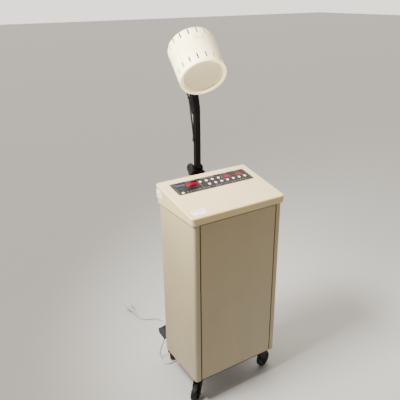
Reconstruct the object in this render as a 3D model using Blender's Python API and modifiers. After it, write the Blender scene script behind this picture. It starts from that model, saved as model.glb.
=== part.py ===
"""Shortwave therapy unit: a cabinet on four castors with a sloping key panel,
an upright jointed arm behind it and a drum-shaped treatment head.

Metres, +Z up, the floor at Z = 0 and the front of the cabinet towards -Y.
The origin is under the middle of the whole unit without its mains lead.
"""
import math

import bmesh
import bpy
from mathutils import Matrix, Vector

# Cabinet
CABINET_W = 0.400
CABINET_D = 0.262
CABINET_Y = -0.0725             # the cabinet stands ahead of the unit's middle
CABINET_Z = 0.123               # underside of the cabinet above the floor
CABINET_TOP = 0.824
CORNER_R = 0.011
SHEET = 0.002
SEAM = 0.0035                   # groove beside the front panel
FRONT_RETURN = 0.0245           # width of the strip between corner and groove
REAR_RETURN = 0.0140
FIT = 0.0003                    # gap left between pieces that touch

FRONT_Y = CABINET_Y - CABINET_D / 2
REAR_Y = CABINET_Y + CABINET_D / 2
FRONT_PANEL_W = CABINET_W - 2 * (FRONT_RETURN + SEAM)
REAR_PANEL_W = CABINET_W - 2 * (REAR_RETURN + 0.0015)

# Openings in the rear panel, as x and z
FAN_CENTRE = (0.085, 0.640)
FAN_R = 0.037
SWITCH_CENTRE = (-0.128, 0.190)
INLET_Z = 0.190

# Console cap: a wedge that rises towards the rear
CAP_OVERHANG = 0.006
CAP_GAP = 0.0025                # shadow gap between the cabinet and the cap
CAP_FRONT_Z = 0.856
CAP_REAR_Z = 0.906
CAP_WALL = 0.003
CAP_W = CABINET_W + 2 * CAP_OVERHANG
CAP_D = CABINET_D + 2 * CAP_OVERHANG
CAP_SLOPE = math.atan2(CAP_REAR_Z - CAP_FRONT_Z, CAP_D)

# Key panel, in the console frame: X across, Y up the slope, Z off the surface
PANEL_SIZE = (0.348, 0.086)
PANEL_CENTRE = (0.0045, 0.201)
PANEL_T = 0.004
PANEL_PROUD = 0.0006
KEY_R = 0.0064
KEY_PITCH = 0.0285
KEY_ROWS = (                    # name, first key's centre, number of keys
    ("key_preset", (-0.0435, 0.2175), 4),
    ("key_mode", (-0.0165, 0.1900), 3),
    ("key_output", (0.0690, 0.1900), 4),
    ("key_power", (-0.1480, 0.1690), 1),
)
WINDOWS = (                     # name, centre, size, colour
    ("display_left", (-0.082, 0.2165), (0.060, 0.031), (0.42, 0.03, 0.05)),
    ("display_middle", (0.083, 0.2165), (0.036, 0.029), (0.42, 0.03, 0.05)),
    ("display_right", (0.140, 0.2165), (0.036, 0.029), (0.42, 0.03, 0.05)),
    ("status_window", (-0.141, 0.2000), (0.028, 0.017), (0.02, 0.07, 0.05)),
)

# Base tray and castors
TRAY_T = 0.003
TRAY_Z = 0.105                  # underside of the tray
TRAY_HALF_W = 0.184
TAIL_HALF_W = 0.155
TRAY_FRONT_Y = FRONT_Y + 0.016
TAIL_Y = REAR_Y + 0.114
CASTOR_PLATE = (0.052, 0.052, 0.003)
WHEEL_R = 0.0365
WHEEL_W = 0.022
CASTOR_TRAIL = 0.030
CASTORS = (                     # name, swivel axis (x, y), heading of the trail
    ("front_left", (-0.158, CABINET_Y - 0.079), 215.0),
    ("front_right", (0.158, CABINET_Y - 0.085), 15.0),
    ("rear_left", (-0.124, CABINET_Y + 0.213), 240.0),
    ("rear_right", (0.124, CABINET_Y + 0.213), 285.0),
)

# Arm
ARM_Y = CABINET_Y + 0.180
ARM_X = 0.0070                  # middle of the lower arm
SHOULDER_Z = 0.915
ELBOW_Z = 1.150
ARM_W, ARM_SECTION = 0.024, 0.019   # across the joints' axis, and in their plane
POST_SECTION = (0.036, 0.030)
POST_PLATE_Z = 0.890            # top of the plate that the arm stands on
UPPER_W = 0.030
UPPER_R = 0.0115
PIN_R = 0.004
PIN_HOLE_R = PIN_R + FIT
KNOB_R = 0.024

# Treatment head, hung on a pivot at the top of the upper arm
HEAD_PIVOT = (0.005, ARM_Y + 0.0168, 1.2239)
HEAD_TILT = 38.1                # how far its face looks down, in degrees
HEAD_PAN = -10.5                # how far it is turned to the left, in degrees
STUD_L = 0.028                  # pivot to the drum's wall
DRUM_L = 0.1694
DRUM_R_REAR = 0.0935
DRUM_R_FRONT = 0.0905
DRUM_WALL = 0.003
DRUM_SEAM = 0.525               # where the two shells meet, from the rear
STUD_AT = 0.75                  # where the stud stands, from the rear
VENTS = 18
VENT_SIZE = (0.0022, 0.022)
VENT_RINGS = (0.122, 0.825)     # middles of the two rings, from the rear
VENT_PHASE = 2.0                # degrees from the top of the drum
FACE_R = 0.073
FACE_DEPTH = 0.007

# Mains lead
CORD_R = 0.0035
COIL_MEAN_R = 0.040
COIL_SECTION = 0.021
COIL_CENTRE = (0.020, CABINET_Y + 0.305)
CONNECTOR_X = -0.168             # also the middle of the inlet
CONNECTOR_W = 0.026
CORD_EXIT = (CONNECTOR_X - 0.004, CABINET_Y + 0.195, 0.125)
CORD_Z = CORD_R + 0.0002

CREAM = (0.80, 0.75, 0.62)
CREAM_HEAD = (0.86, 0.83, 0.74)
BLACK = (0.020, 0.020, 0.022)
STEEL = (0.55, 0.55, 0.56)
LEAD = (0.62, 0.62, 0.60)

bpy.context.scene.unit_settings.system = "METRIC"
for old in list(bpy.data.objects):
    bpy.data.objects.remove(old, do_unlink=True)
PARTS = bpy.data.collections.new("shortwave_therapy_unit")
CUTTERS = bpy.data.collections.new("cutters")
for group in (PARTS, CUTTERS):
    bpy.context.scene.collection.children.link(group)


# ---------------------------------------------------------------- helpers

def frame(name, location=(0, 0, 0), degrees=(0, 0, 0), parent=None):
    """An empty that carries the pieces built in its own directions."""
    empty = bpy.data.objects.new(name, None)
    empty.location = location
    empty.rotation_euler = [math.radians(angle) for angle in degrees]
    empty.parent = parent
    PARTS.objects.link(empty)
    return empty


def place(name, data, parent=None, location=(0, 0, 0), degrees=(0, 0, 0),
          colour=CREAM, roughness=0.5, metallic=0.0):
    """A finished piece, with a material of its own."""
    piece = bpy.data.objects.new(name, data)
    piece.location = location
    piece.rotation_euler = [math.radians(angle) for angle in degrees]
    piece.parent = parent
    PARTS.objects.link(piece)
    material = bpy.data.materials.new(name)
    material.use_nodes = True
    shader = material.node_tree.nodes["Principled BSDF"]
    shader.inputs["Base Color"].default_value = (*colour, 1.0)
    shader.inputs["Roughness"].default_value = roughness
    shader.inputs["Metallic"].default_value = metallic
    data.materials.append(material)
    if isinstance(data, bpy.types.Mesh):
        data.shade_smooth()
        data.set_sharp_from_angle(angle=math.radians(35))
    return piece


def tool(name, data, parent=None, location=(0, 0, 0), degrees=(0, 0, 0)):
    """A shape that only cuts or joins."""
    shape = bpy.data.objects.new(name, data)
    shape.location = location
    shape.rotation_euler = [math.radians(angle) for angle in degrees]
    shape.parent = parent
    shape.hide_render = True
    shape.display_type = "WIRE"
    CUTTERS.objects.link(shape)
    return shape


def boolean(piece, shape, operation="DIFFERENCE"):
    modifier = piece.modifiers.new(operation.lower(), "BOOLEAN")
    modifier.operation = operation
    modifier.object = shape


def solidify(piece, thickness):
    """Thickness goes to the back of the surface."""
    modifier = piece.modifiers.new("thickness", "SOLIDIFY")
    modifier.thickness = thickness
    modifier.offset = -1
    modifier.use_even_offset = True


def boxes(*blocks, bevel=0.0, segments=2):
    """One mesh of blocks, each given as (size, centre)."""
    shape = bmesh.new()
    for size, centre in blocks:
        matrix = Matrix.Translation(centre) @ Matrix.Diagonal((*size, 1.0))
        bmesh.ops.create_cube(shape, size=1.0, matrix=matrix)
    if bevel:
        bmesh.ops.bevel(shape, geom=shape.edges[:], offset=bevel, segments=segments,
                        profile=0.5, affect="EDGES")
    mesh = bpy.data.meshes.new("block")
    shape.to_mesh(mesh)
    shape.free()
    return mesh


def rods(*bars, axis="Z", sides=24):
    """One mesh of cylinders along an axis, each (radius, length, centre)."""
    turn = {"X": Matrix.Rotation(math.pi / 2, 4, "Y"),
            "Y": Matrix.Rotation(math.pi / 2, 4, "X"),
            "Z": Matrix.Identity(4)}[axis]
    shape = bmesh.new()
    for radius, length, centre in bars:
        bmesh.ops.create_cone(shape, cap_ends=True, segments=sides, radius1=radius,
                              radius2=radius, depth=length,
                              matrix=Matrix.Translation(centre) @ turn)
    mesh = bpy.data.meshes.new("rod")
    shape.to_mesh(mesh)
    shape.free()
    return mesh


def arc(centre, radius, start, end, steps):
    """Points of an arc, angles in degrees."""
    angles = [math.radians(start + (end - start) * i / steps) for i in range(steps + 1)]
    return [(centre[0] + radius * math.cos(a), centre[1] + radius * math.sin(a))
            for a in angles]


def rounded(corners, radius, steps=4, closed=True):
    """A polyline with each corner turned into an arc."""
    points = []
    count = len(corners)
    for i, corner in enumerate(corners):
        here = Vector(corner)
        if not closed and i in (0, count - 1):
            points.append(tuple(here))
            continue
        before = (Vector(corners[i - 1]) - here).normalized()
        after = (Vector(corners[(i + 1) % count]) - here).normalized()
        half = before.angle(after) / 2
        reach = radius / math.tan(half)
        centre = here + (before + after).normalized() * radius / math.sin(half)
        first = here + before * reach - centre
        last = here + after * reach - centre
        for k in range(steps + 1):
            spoke = first.slerp(last, k / steps, first) if k else first
            points.append(tuple(centre + spoke.normalized() * radius))
    return points


def stadium(start, end, radius, steps=8):
    """The outline round two equal circles."""
    along = math.degrees(math.atan2(end[1] - start[1], end[0] - start[0]))
    return (arc(end, radius, along - 90, along + 90, steps)
            + arc(start, radius, along + 90, along + 270, steps))


def slab(outline, thickness):
    """A mesh plate: an outline in XY, with its thickness centred on Z = 0."""
    curve = bpy.data.curves.new("outline", "CURVE")
    curve.dimensions = "2D"
    curve.fill_mode = "BOTH"
    curve.extrude = thickness / 2
    spline = curve.splines.new("POLY")
    spline.points.add(len(outline) - 1)
    for point, (x, y) in zip(spline.points, outline):
        point.co = (x, y, 0, 1)
    spline.use_cyclic_u = True
    return curve_mesh(curve)


def curve_mesh(curve):
    """The closed mesh of a filled curve."""
    holder = bpy.data.objects.new("holder", curve)
    bpy.context.scene.collection.objects.link(holder)
    graph = bpy.context.evaluated_depsgraph_get()
    mesh = bpy.data.meshes.new_from_object(holder.evaluated_get(graph))
    bpy.data.objects.remove(holder, do_unlink=True)
    shape = bmesh.new()
    shape.from_mesh(mesh)
    bmesh.ops.remove_doubles(shape, verts=shape.verts, dist=0.00001)
    shape.to_mesh(mesh)
    shape.free()
    return mesh


def tube(points, radius, resolution=2):
    """A round cord through the points, with filled ends."""
    curve = bpy.data.curves.new("tube", "CURVE")
    curve.dimensions = "3D"
    curve.bevel_depth = radius
    curve.bevel_resolution = resolution
    curve.use_fill_caps = True
    spline = curve.splines.new("POLY")
    spline.points.add(len(points) - 1)
    for point, place_ in zip(spline.points, points):
        point.co = (*place_, 1)
    return curve


def profile(points, closed=False):
    """A turned piece's outline: (radius, height) points down its outer side."""
    mesh = bpy.data.meshes.new("profile")
    edges = [(i, i + 1) for i in range(len(points) - 1)]
    if closed:
        edges.append((len(points) - 1, 0))
    mesh.from_pydata([(r, 0, z) for r, z in points], edges, [])
    return mesh


def turn(piece, steps):
    modifier = piece.modifiers.new("turn", "SCREW")
    modifier.axis = "Z"
    modifier.steps = modifier.render_steps = steps
    modifier.use_smooth_shade = True
    modifier.use_merge_vertices = True
    modifier.merge_threshold = 0.00001


def route(stations, spacing):
    """Evenly spaced points of a smooth curve through the stations."""
    knots = [Vector(p) for p in stations]
    knots = [2 * knots[0] - knots[1]] + knots + [2 * knots[-1] - knots[-2]]
    fine = []
    for a, b, c, d in zip(knots, knots[1:], knots[2:], knots[3:]):
        for k in range(24):
            t = k / 24
            fine.append(0.5 * (2 * b + (c - a) * t + (2 * a - 5 * b + 4 * c - d) * t ** 2
                               + (3 * b - a - 3 * c + d) * t ** 3))
    fine.append(knots[-2])
    lengths = [0.0]
    for p, q in zip(fine, fine[1:]):
        lengths.append(lengths[-1] + (q - p).length)
    count = round(lengths[-1] / spacing)
    points, k = [], 0
    for i in range(count + 1):
        want = lengths[-1] * i / count
        while k < len(fine) - 2 and lengths[k + 1] < want:
            k += 1
        share = (want - lengths[k]) / (lengths[k + 1] - lengths[k])
        points.append(fine[k].lerp(fine[k + 1], share))
    return points


# ---------------------------------------------------------------- cabinet

def side_panel(name, side):
    """A folded side with rounded corners and short returns front and rear."""
    edge = side * CABINET_W / 2
    front = edge - side * FRONT_RETURN
    rear = edge - side * REAR_RETURN
    lip = 0.011
    corners = [(rear - side * 0.004, REAR_Y - lip), (rear, REAR_Y - lip), (rear, REAR_Y),
               (edge, REAR_Y), (edge, FRONT_Y), (front, FRONT_Y),
               (front, FRONT_Y + lip + 0.003), (front - side * lip, FRONT_Y + lip + 0.003)]
    plan = [corners[0]]
    radii = (0.0025, 0.0025, CORNER_R, CORNER_R, 0.0025, 0.0025)
    for i, radius in enumerate(radii, start=1):
        steps = 5 if radius == CORNER_R else 2
        plan += rounded(corners[i - 1:i + 2], radius, steps, closed=False)[1:-1]
    plan.append(corners[-1])
    if side > 0:
        plan.reverse()
    shape = bmesh.new()
    bottom = [shape.verts.new((x, y, CABINET_Z)) for x, y in plan]
    edges = [shape.edges.new(pair) for pair in zip(bottom, bottom[1:])]
    lifted = bmesh.ops.extrude_edge_only(shape, edges=edges)["geom"]
    top = [item for item in lifted if isinstance(item, bmesh.types.BMVert)]
    bmesh.ops.translate(shape, verts=top, vec=(0, 0, CABINET_TOP - CABINET_Z))
    bmesh.ops.recalc_face_normals(shape, faces=shape.faces)
    outside = sum(face.normal.x * side for face in shape.faces)
    if outside < 0:
        bmesh.ops.reverse_faces(shape, faces=shape.faces)
    mesh = bpy.data.meshes.new(name)
    shape.to_mesh(mesh)
    shape.free()
    solidify(place(name, mesh, colour=CREAM, roughness=0.45), SHEET)


def folded_pan(size, depth, facing):
    """A flat panel with its edges folded back; facing is -1 front, +1 rear."""
    width, height = size
    shape = bmesh.new()
    matrix = Matrix.Translation((0, -facing * depth / 2, 0)) @ Matrix.Diagonal(
        (width, depth, height, 1.0))
    bmesh.ops.create_cube(shape, size=1.0, matrix=matrix)
    inner = [f for f in shape.faces if f.normal.y * facing < -0.5]
    bmesh.ops.delete(shape, geom=inner, context="FACES")
    folds = [e for e in shape.edges if not e.is_boundary]
    bmesh.ops.bevel(shape, geom=folds, offset=0.0025, segments=2, profile=0.5,
                    affect="EDGES")
    mesh = bpy.data.meshes.new("pan")
    shape.to_mesh(mesh)
    shape.free()
    return mesh


def front_panel():
    low, high = CABINET_Z + 0.002, CABINET_TOP - 0.002
    mesh = folded_pan((FRONT_PANEL_W, high - low), 0.009, -1)
    panel = place("front_panel", mesh, location=(0, FRONT_Y, (low + high) / 2),
                  colour=CREAM, roughness=0.45)
    solidify(panel, SHEET)


def rear_panel():
    """The rear cover, with cooling slots, a fan grille and two cut-outs."""
    low, high = CABINET_Z + 0.002, CABINET_TOP - 0.002
    mesh = folded_pan((REAR_PANEL_W, high - low), 0.009, 1)
    panel = place("rear_panel", mesh, location=(0, REAR_Y, (low + high) / 2),
                  colour=CREAM, roughness=0.45)
    solidify(panel, SHEET)
    through = 0.02
    holes = []
    for column in (-0.085, 0.085):
        for row in range(7):
            holes.append(((0.070, through, 0.004), (column, REAR_Y, 0.300 + 0.012 * row)))
    for row in range(-3, 4):
        drop = 0.0105 * row
        width = 2 * math.sqrt((FAN_R - 0.003) ** 2 - drop ** 2)
        holes.append(((width, through, 0.005),
                      (FAN_CENTRE[0], REAR_Y, FAN_CENTRE[1] + drop)))
    holes.append(((0.0276, through, 0.0206), (CONNECTOR_X, REAR_Y, INLET_Z)))
    holes.append(((0.0150, through, 0.0220), (SWITCH_CENTRE[0], REAR_Y, SWITCH_CENTRE[1])))
    boolean(panel, tool("rear_openings", boxes(*holes)))


def base_tray():
    """A folded tray that carries everything; its tail reaches back under the arm."""
    def outline(inset):
        wide, narrow = TRAY_HALF_W - inset, TAIL_HALF_W - inset
        front, step, rear = TRAY_FRONT_Y + inset, REAR_Y - 0.006 - inset, TAIL_Y - inset
        corners = [(-wide, front), (wide, front), (wide, step), (narrow, step),
                   (narrow, rear), (-narrow, rear), (-narrow, step), (-wide, step)]
        return corners
    height = CABINET_Z - FIT - TRAY_Z
    tray = place("base_tray", slab(outline(0.0), height),
                 location=(0, 0, TRAY_Z + height / 2), colour=BLACK, roughness=0.5)
    boolean(tray, tool("tray_hollow", slab(outline(0.0025), height),
                       location=(0, 0, TRAY_Z + TRAY_T + height / 2)))
    width, depth, thick = CASTOR_PLATE
    sink = 0.0005
    for name, (x, y), _ in CASTORS:
        plate = boxes(((width, depth, thick + sink), (x, y, TRAY_Z + sink / 2 - thick / 2)))
        boolean(tray, tool("plate_" + name, plate), "UNION")


def console_cap():
    """The wedge-shaped cap, hollow below, with the window of the key panel."""
    shape = bmesh.new()
    bmesh.ops.create_cube(shape, size=1.0)
    low = CABINET_TOP + CAP_GAP
    for vertex in shape.verts:
        high = CAP_FRONT_Z if vertex.co.y < 0 else CAP_REAR_Z
        vertex.co.z = high if vertex.co.z > 0 else low
        vertex.co.x *= CAP_W
        vertex.co.y = CABINET_Y + vertex.co.y * CAP_D
    uprights = [e for e in shape.edges
                if abs(e.verts[0].co.z - e.verts[1].co.z) > 0.02
                and abs(e.verts[0].co.y - e.verts[1].co.y) < 0.01]
    bmesh.ops.bevel(shape, geom=uprights, offset=0.015, segments=5, profile=0.5,
                    affect="EDGES")
    floor = [f for f in shape.faces if all(abs(v.co.z - low) < 0.0001 for v in f.verts)]
    bmesh.ops.delete(shape, geom=floor, context="FACES_ONLY")
    top = max(shape.faces, key=lambda f: f.calc_area() * max(f.normal.z, 0))
    bmesh.ops.bevel(shape, geom=top.edges[:], offset=0.007, segments=3, profile=0.5,
                    affect="EDGES")
    mesh = bpy.data.meshes.new("cap")
    shape.to_mesh(mesh)
    shape.free()
    cap = place("console_cap", mesh, colour=CREAM, roughness=0.4)
    solidify(cap, CAP_WALL)
    window = rounded(rectangle(PANEL_SIZE, FIT), 0.008 + FIT)
    boolean(cap, tool("panel_window", slab(window, 0.03), CONSOLE,
                      location=(*PANEL_CENTRE, 0)))


def rectangle(size, grow=0.0):
    x, y = size[0] / 2 + grow, size[1] / 2 + grow
    return [(-x, -y), (x, -y), (x, y), (-x, y)]


def key_centres():
    for name, (x, y), count in KEY_ROWS:
        for i in range(count):
            label = name if count == 1 else f"{name}_{i + 1}"
            yield label, (x + KEY_PITCH * i, y)


def key_panel():
    """The dark panel, its keys and its windows."""
    panel = place("keypad_bezel", slab(rounded(rectangle(PANEL_SIZE), 0.008), PANEL_T),
                  CONSOLE, (*PANEL_CENTRE, PANEL_PROUD - PANEL_T / 2),
                  colour=(0.045, 0.030, 0.027), roughness=0.35)
    holes = [(KEY_R + FIT, 0.02, (*centre, 0)) for _, centre in key_centres()]
    boolean(panel, tool("key_holes", rods(*holes), CONSOLE))
    openings = [((w + 2 * FIT, h + 2 * FIT, 0.02), (*centre, 0))
                for _, centre, (w, h), _ in WINDOWS]
    boolean(panel, tool("window_holes", boxes(*openings), CONSOLE))
    for name, centre, (w, h), colour in WINDOWS:
        place(name, boxes(((w, h, 0.003), (0, 0, 0))), CONSOLE,
              (*centre, PANEL_PROUD - 0.0019), colour=colour, roughness=0.12)
    for name, centre in key_centres():
        cap = profile([(0, 0.0016), (KEY_R - 0.001, 0.0016), (KEY_R, 0.0006),
                       (KEY_R, -0.0046), (0, -0.0046)])
        turn(place(name, cap, CONSOLE, (*centre, 0), colour=(0.8, 0.8, 0.78),
                   roughness=0.4), 20)


def inner_parts():
    """What the cabinet holds: generator, transformer, control board and fan."""
    case = boxes(((0.300, 0.180, 0.240), (0, 0, 0)))
    shape = bmesh.new()
    shape.from_mesh(case)
    under = [f for f in shape.faces if f.normal.z < -0.5]
    bmesh.ops.delete(shape, geom=under, context="FACES")
    shape.to_mesh(case)
    shape.free()
    generator = place("rf_generator_case", case, location=(0, CABINET_Y - 0.020, 0.520),
                      colour=STEEL, roughness=0.35, metallic=1.0)
    solidify(generator, 0.0015)
    core = boxes(((0.100, 0.050, 0.086), (0, 0, 0)), bevel=0.002, segments=1)
    transformer = place("power_transformer", core, colour=(0.12, 0.10, 0.09),
                        location=(-0.060, CABINET_Y, TRAY_Z + TRAY_T + FIT + 0.043),
                        roughness=0.6)
    winding = boxes(((0.060, 0.084, 0.054), (0, 0, 0)), bevel=0.008, segments=2)
    boolean(transformer, tool("winding", winding, transformer), "UNION")
    place("control_board", boxes(((0.320, 0.074, 0.0016), (0, 0, 0))), CONSOLE,
          (*PANEL_CENTRE, -0.014), colour=(0.03, 0.16, 0.07), roughness=0.5)
    fan_y = REAR_Y - 0.0095 - 0.0125
    body = place("fan_frame", boxes(((0.080, 0.025, 0.080), (0, 0, 0)), bevel=0.002, segments=1),
                 location=(FAN_CENTRE[0], fan_y, FAN_CENTRE[1]), colour=BLACK)
    for name, radius, depth, y in (("fan_tunnel", FAN_R, 0.020, 0.0035), ("fan_eye", 0.017, 0.030, 0)):
        boolean(body, tool(name, rods((radius, depth, (0, y, 0)), axis="Y", sides=36), body))
    rotor = place("fan_rotor", rods((0.0145, 0.016, (0, 0, 0)), axis="Y", sides=24),
                  location=(FAN_CENTRE[0], fan_y + 0.003, FAN_CENTRE[1]), colour=BLACK)
    for i in range(7):
        angle = 360 * i / 7
        blade = boxes(((0.012, 0.0016, 0.023), (0, 0, 0.0235)))
        spin = tool(f"blade_{i}", blade, rotor, degrees=(0, angle, 0))
        spin.rotation_euler.rotate_axis("Z", math.radians(32))
        boolean(rotor, spin, "UNION")


# ---------------------------------------------------------------- base

UPRIGHT = (90, 0, 90)           # stands a slab up: its X, Y, Z become Y, Z, X


def castor(name, place_xy, heading):
    """A swivel fork with its axle, and the wheel on it. Local -Y is the heading."""
    swivel = frame("castor_" + name, (*place_xy, 0), (0, 0, heading + 90))
    top = TRAY_Z - CASTOR_PLATE[2] - FIT
    crown = 0.088
    cheeks = [(0.017, crown), (-0.017, crown)] + arc(
        (-CASTOR_TRAIL, WHEEL_R), 0.010, 160, 350, 8)
    fork = place("castor_fork_" + name, slab(cheeks, WHEEL_W + 0.012), swivel,
                 degrees=UPRIGHT, colour=BLACK, roughness=0.4, metallic=0.6)
    gap = boxes(((0.12, 0.12, WHEEL_W + 0.003), (-0.02, 0.015, 0)))
    boolean(fork, tool("fork_gap_" + name, gap, fork))
    pivot = rods((0.018, top - crown + 0.006, (0, 0, (top + crown - 0.006) / 2)), sides=24)
    boolean(fork, tool("pivot_" + name, pivot, swivel), "UNION")
    axle = rods((0.004, WHEEL_W + 0.016, (0, -CASTOR_TRAIL, WHEEL_R)), axis="X", sides=16)
    boolean(fork, tool("axle_" + name, axle, swivel), "UNION")
    half = WHEEL_W / 2
    tread = [(PIN_HOLE_R, half - 0.001), (0.011, half), (0.014, half - 0.003),
             (0.026, half - 0.003), (0.028, half - 0.0005), (WHEEL_R - 0.004, half - 0.001),
             (WHEEL_R, half - 0.006)]
    outline = tread + [(r, -z) for r, z in reversed(tread)]
    wheel = place("castor_wheel_" + name, profile(outline, closed=True), swivel,
                  (0, -CASTOR_TRAIL, WHEEL_R), (0, 90, 0), colour=(0.03, 0.03, 0.032),
                  roughness=0.7)
    turn(wheel, 24)


# ---------------------------------------------------------------- arm

def arm_post():
    """A square tube on the tray's tail, with the plate that the arm stands on."""
    width, depth = POST_SECTION
    foot = TRAY_Z + TRAY_T + FIT
    length = POST_PLATE_Z - 0.002 - foot
    post = place("arm_post", slab(rounded(rectangle((width, depth)), 0.003, 2), length),
                 location=(ARM_X, ARM_Y, foot + length / 2), colour=BLACK, roughness=0.45)
    bore = rounded(rectangle((width, depth), -0.002), 0.0015, 2)
    boolean(post, tool("post_bore", slab(bore, length), post, (0, 0, -0.004)))
    near, far = REAR_Y + FIT, ARM_Y - depth / 2 + 0.001
    stays = [((0.030, far - near, 0.024), (ARM_X, (near + far) / 2, z)) for z in (0.200, 0.780)]
    boolean(post, tool("post_stays", boxes(*stays)), "UNION")
    plate = boxes(((0.064, 0.050, 0.005), (ARM_X, ARM_Y, POST_PLATE_Z - 0.0025)))
    boolean(post, tool("post_plate", plate), "UNION")


def arm_clevis():
    """The turning clevis at the foot of the arm."""
    base = POST_PLATE_Z + FIT
    cheek = 0.008
    width = ARM_W + 2 * (cheek + FIT)
    outline = [(-0.0125, base), (0.0125, base)] + arc((0, SHOULDER_Z), 0.0125, 0, 180, 10)
    clevis = place("arm_clevis", slab(outline, width), None, (ARM_X, ARM_Y, 0), UPRIGHT,
                   colour=BLACK, roughness=0.4)
    foot = boxes(((0.0305, 0.020, 0.0092), (ARM_X + 0.0155, ARM_Y, base + 0.0046)))
    boolean(clevis, tool("clevis_foot", foot), "UNION")
    slot = boxes(((ARM_W + 2 * FIT, 0.03, 0.05), (ARM_X, ARM_Y, SHOULDER_Z - 0.0099 + 0.025)))
    boolean(clevis, tool("clevis_slot", slot))
    hole = rods((PIN_HOLE_R, 0.06, (ARM_X, ARM_Y, SHOULDER_Z)), axis="X")
    boolean(clevis, tool("clevis_hole", hole))
    left = ARM_X - width / 2
    right = ARM_X + width / 2
    pin = place("shoulder_pin", rods((PIN_R, right - left + 0.014, (0, 0, 0)), axis="X"), None,
                ((left + right) / 2 - 0.006, ARM_Y, SHOULDER_Z), colour=STEEL, metallic=1.0)
    head = rods((0.007, 0.003, (right + FIT + 0.0015 - pin.location.x, 0, 0)), axis="X", sides=6)
    boolean(pin, tool("pin_head", head, pin), "UNION")
    knob(left - FIT)


def knob(side_x):
    """The ribbed clamping knob beside the shoulder."""
    length = 0.0175
    outline = [(PIN_HOLE_R, 0), (0.0105, 0), (0.0105, -0.0035), (KNOB_R - 0.003, -0.0035),
               (KNOB_R, -0.0065), (KNOB_R, -length + 0.003), (KNOB_R - 0.003, -length),
               (0.0055, -length), (PIN_HOLE_R, -length + 0.0015)]
    grip = place("shoulder_knob", profile(outline, closed=True), None,
                 (side_x, ARM_Y, SHOULDER_Z), (0, 90, 0), colour=BLACK, roughness=0.45)
    turn(grip, 32)
    grooves = []
    for i in range(16):
        angle = math.radians(360 * (i + 0.5) / 16)
        grooves.append((0.0022, length, ((KNOB_R + 0.0009) * math.cos(angle),
                                         (KNOB_R + 0.0009) * math.sin(angle), -length / 2 - 0.0035)))
    boolean(grip, tool("knob_grooves", rods(*grooves, sides=8), grip))


def lower_arm():
    """The straight lower arm, drilled for the pins of shoulder and elbow."""
    outline = stadium((0, SHOULDER_Z), (0, ELBOW_Z), ARM_SECTION / 2)
    arm = place("lower_arm", slab(outline, ARM_W), None, (ARM_X, ARM_Y, 0), UPRIGHT,
                colour=BLACK, roughness=0.4)
    holes = [(PIN_HOLE_R, 0.04, (ARM_X, ARM_Y, z)) for z in (SHOULDER_Z, ELBOW_Z)]
    boolean(arm, tool("arm_holes", rods(*holes, axis="X")))


UPPER_X = ARM_X + ARM_W / 2 - UPPER_W / 2     # its right side is flush
KNUCKLE_W = 0.0148


def upper_arm():
    """The upper arm: an ear beside the elbow and a fork for the head's knuckle."""
    pivot_y, pivot_z = HEAD_PIVOT[1] - ARM_Y, HEAD_PIVOT[2]
    outline = stadium((0, ELBOW_Z), (pivot_y, pivot_z), UPPER_R)
    arm = place("upper_arm", slab(outline, UPPER_W), None, (UPPER_X, ARM_Y, 0), UPRIGHT,
                colour=BLACK, roughness=0.4)
    ear_x = ARM_X - ARM_W / 2 - FIT
    seat = boxes(((0.04, 0.05, 0.05), (ear_x + 0.02, ARM_Y, ELBOW_Z + 0.0145 - 0.025)))
    boolean(arm, tool("elbow_seat", seat))
    slot = boxes(((KNUCKLE_W + 2 * FIT, 0.06, 0.05),
                  (HEAD_PIVOT[0], HEAD_PIVOT[1], pivot_z - 0.0140 + 0.025)))
    boolean(arm, tool("knuckle_slot", slot))
    holes = [(PIN_HOLE_R, 0.08, (ARM_X, ARM_Y, ELBOW_Z)), (PIN_HOLE_R, 0.08, HEAD_PIVOT)]
    boolean(arm, tool("upper_holes", rods(*holes, axis="X")))
    ear_left = UPPER_X - UPPER_W / 2
    arm_right = ARM_X + ARM_W / 2
    length = arm_right - ear_left + 0.004
    pin = place("elbow_pin", rods((PIN_R, length, (0, 0, 0)), axis="X"), None,
                ((arm_right + ear_left) / 2, ARM_Y, ELBOW_Z), colour=STEEL, metallic=1.0)
    caps = [(0.0085, 0.003, (side * (length / 2 - 0.0002), 0, 0)) for side in (-1, 1)]
    boolean(pin, tool("elbow_caps", rods(*caps, axis="X"), pin), "UNION")


# ---------------------------------------------------------------- head

def knuckle_and_saddle():
    """The tilting knuckle, and the stud and saddle that carry the drum."""
    knuckle = place("head_knuckle", rods((0.0105, KNUCKLE_W, (0, 0, 0)), axis="X"),
                    location=HEAD_PIVOT, colour=BLACK, roughness=0.4)
    post = rods((0.0055, 0.0145, (0, -0.00725, 0)), axis="Y")
    boolean(knuckle, tool("knuckle_post", post, HEAD), "UNION")
    pin = rods((PIN_R, UPPER_W + 0.006, (0, 0, 0)), axis="X")
    boolean(knuckle, tool("knuckle_pin", pin, knuckle), "UNION")
    low, high = -0.0148, -STUD_L - 0.006
    saddle = place("head_saddle", rods((0.0070, low - high, (0, (low + high) / 2, 0)), axis="Y"),
                   HEAD, colour=BLACK, roughness=0.4)
    flange = rods((0.021, 0.0135, (0, -STUD_L - 0.00325, 0)), axis="Y", sides=32)
    boolean(saddle, tool("saddle_flange", flange, HEAD), "UNION")
    skin = profile([(0, 0.02), (DRUM_R_REAR + FIT, 0.02), (DRUM_R_REAR + FIT, 0),
                    (DRUM_R_FRONT + FIT, -DRUM_L), (0, -DRUM_L)])
    envelope = tool("drum_envelope", skin, DRUM)
    turn(envelope, 96)
    boolean(saddle, envelope)


def drum_radius(share):
    """Outside radius at a share of the length, measured from the rear."""
    return DRUM_R_REAR + (DRUM_R_FRONT - DRUM_R_REAR) * share


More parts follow.
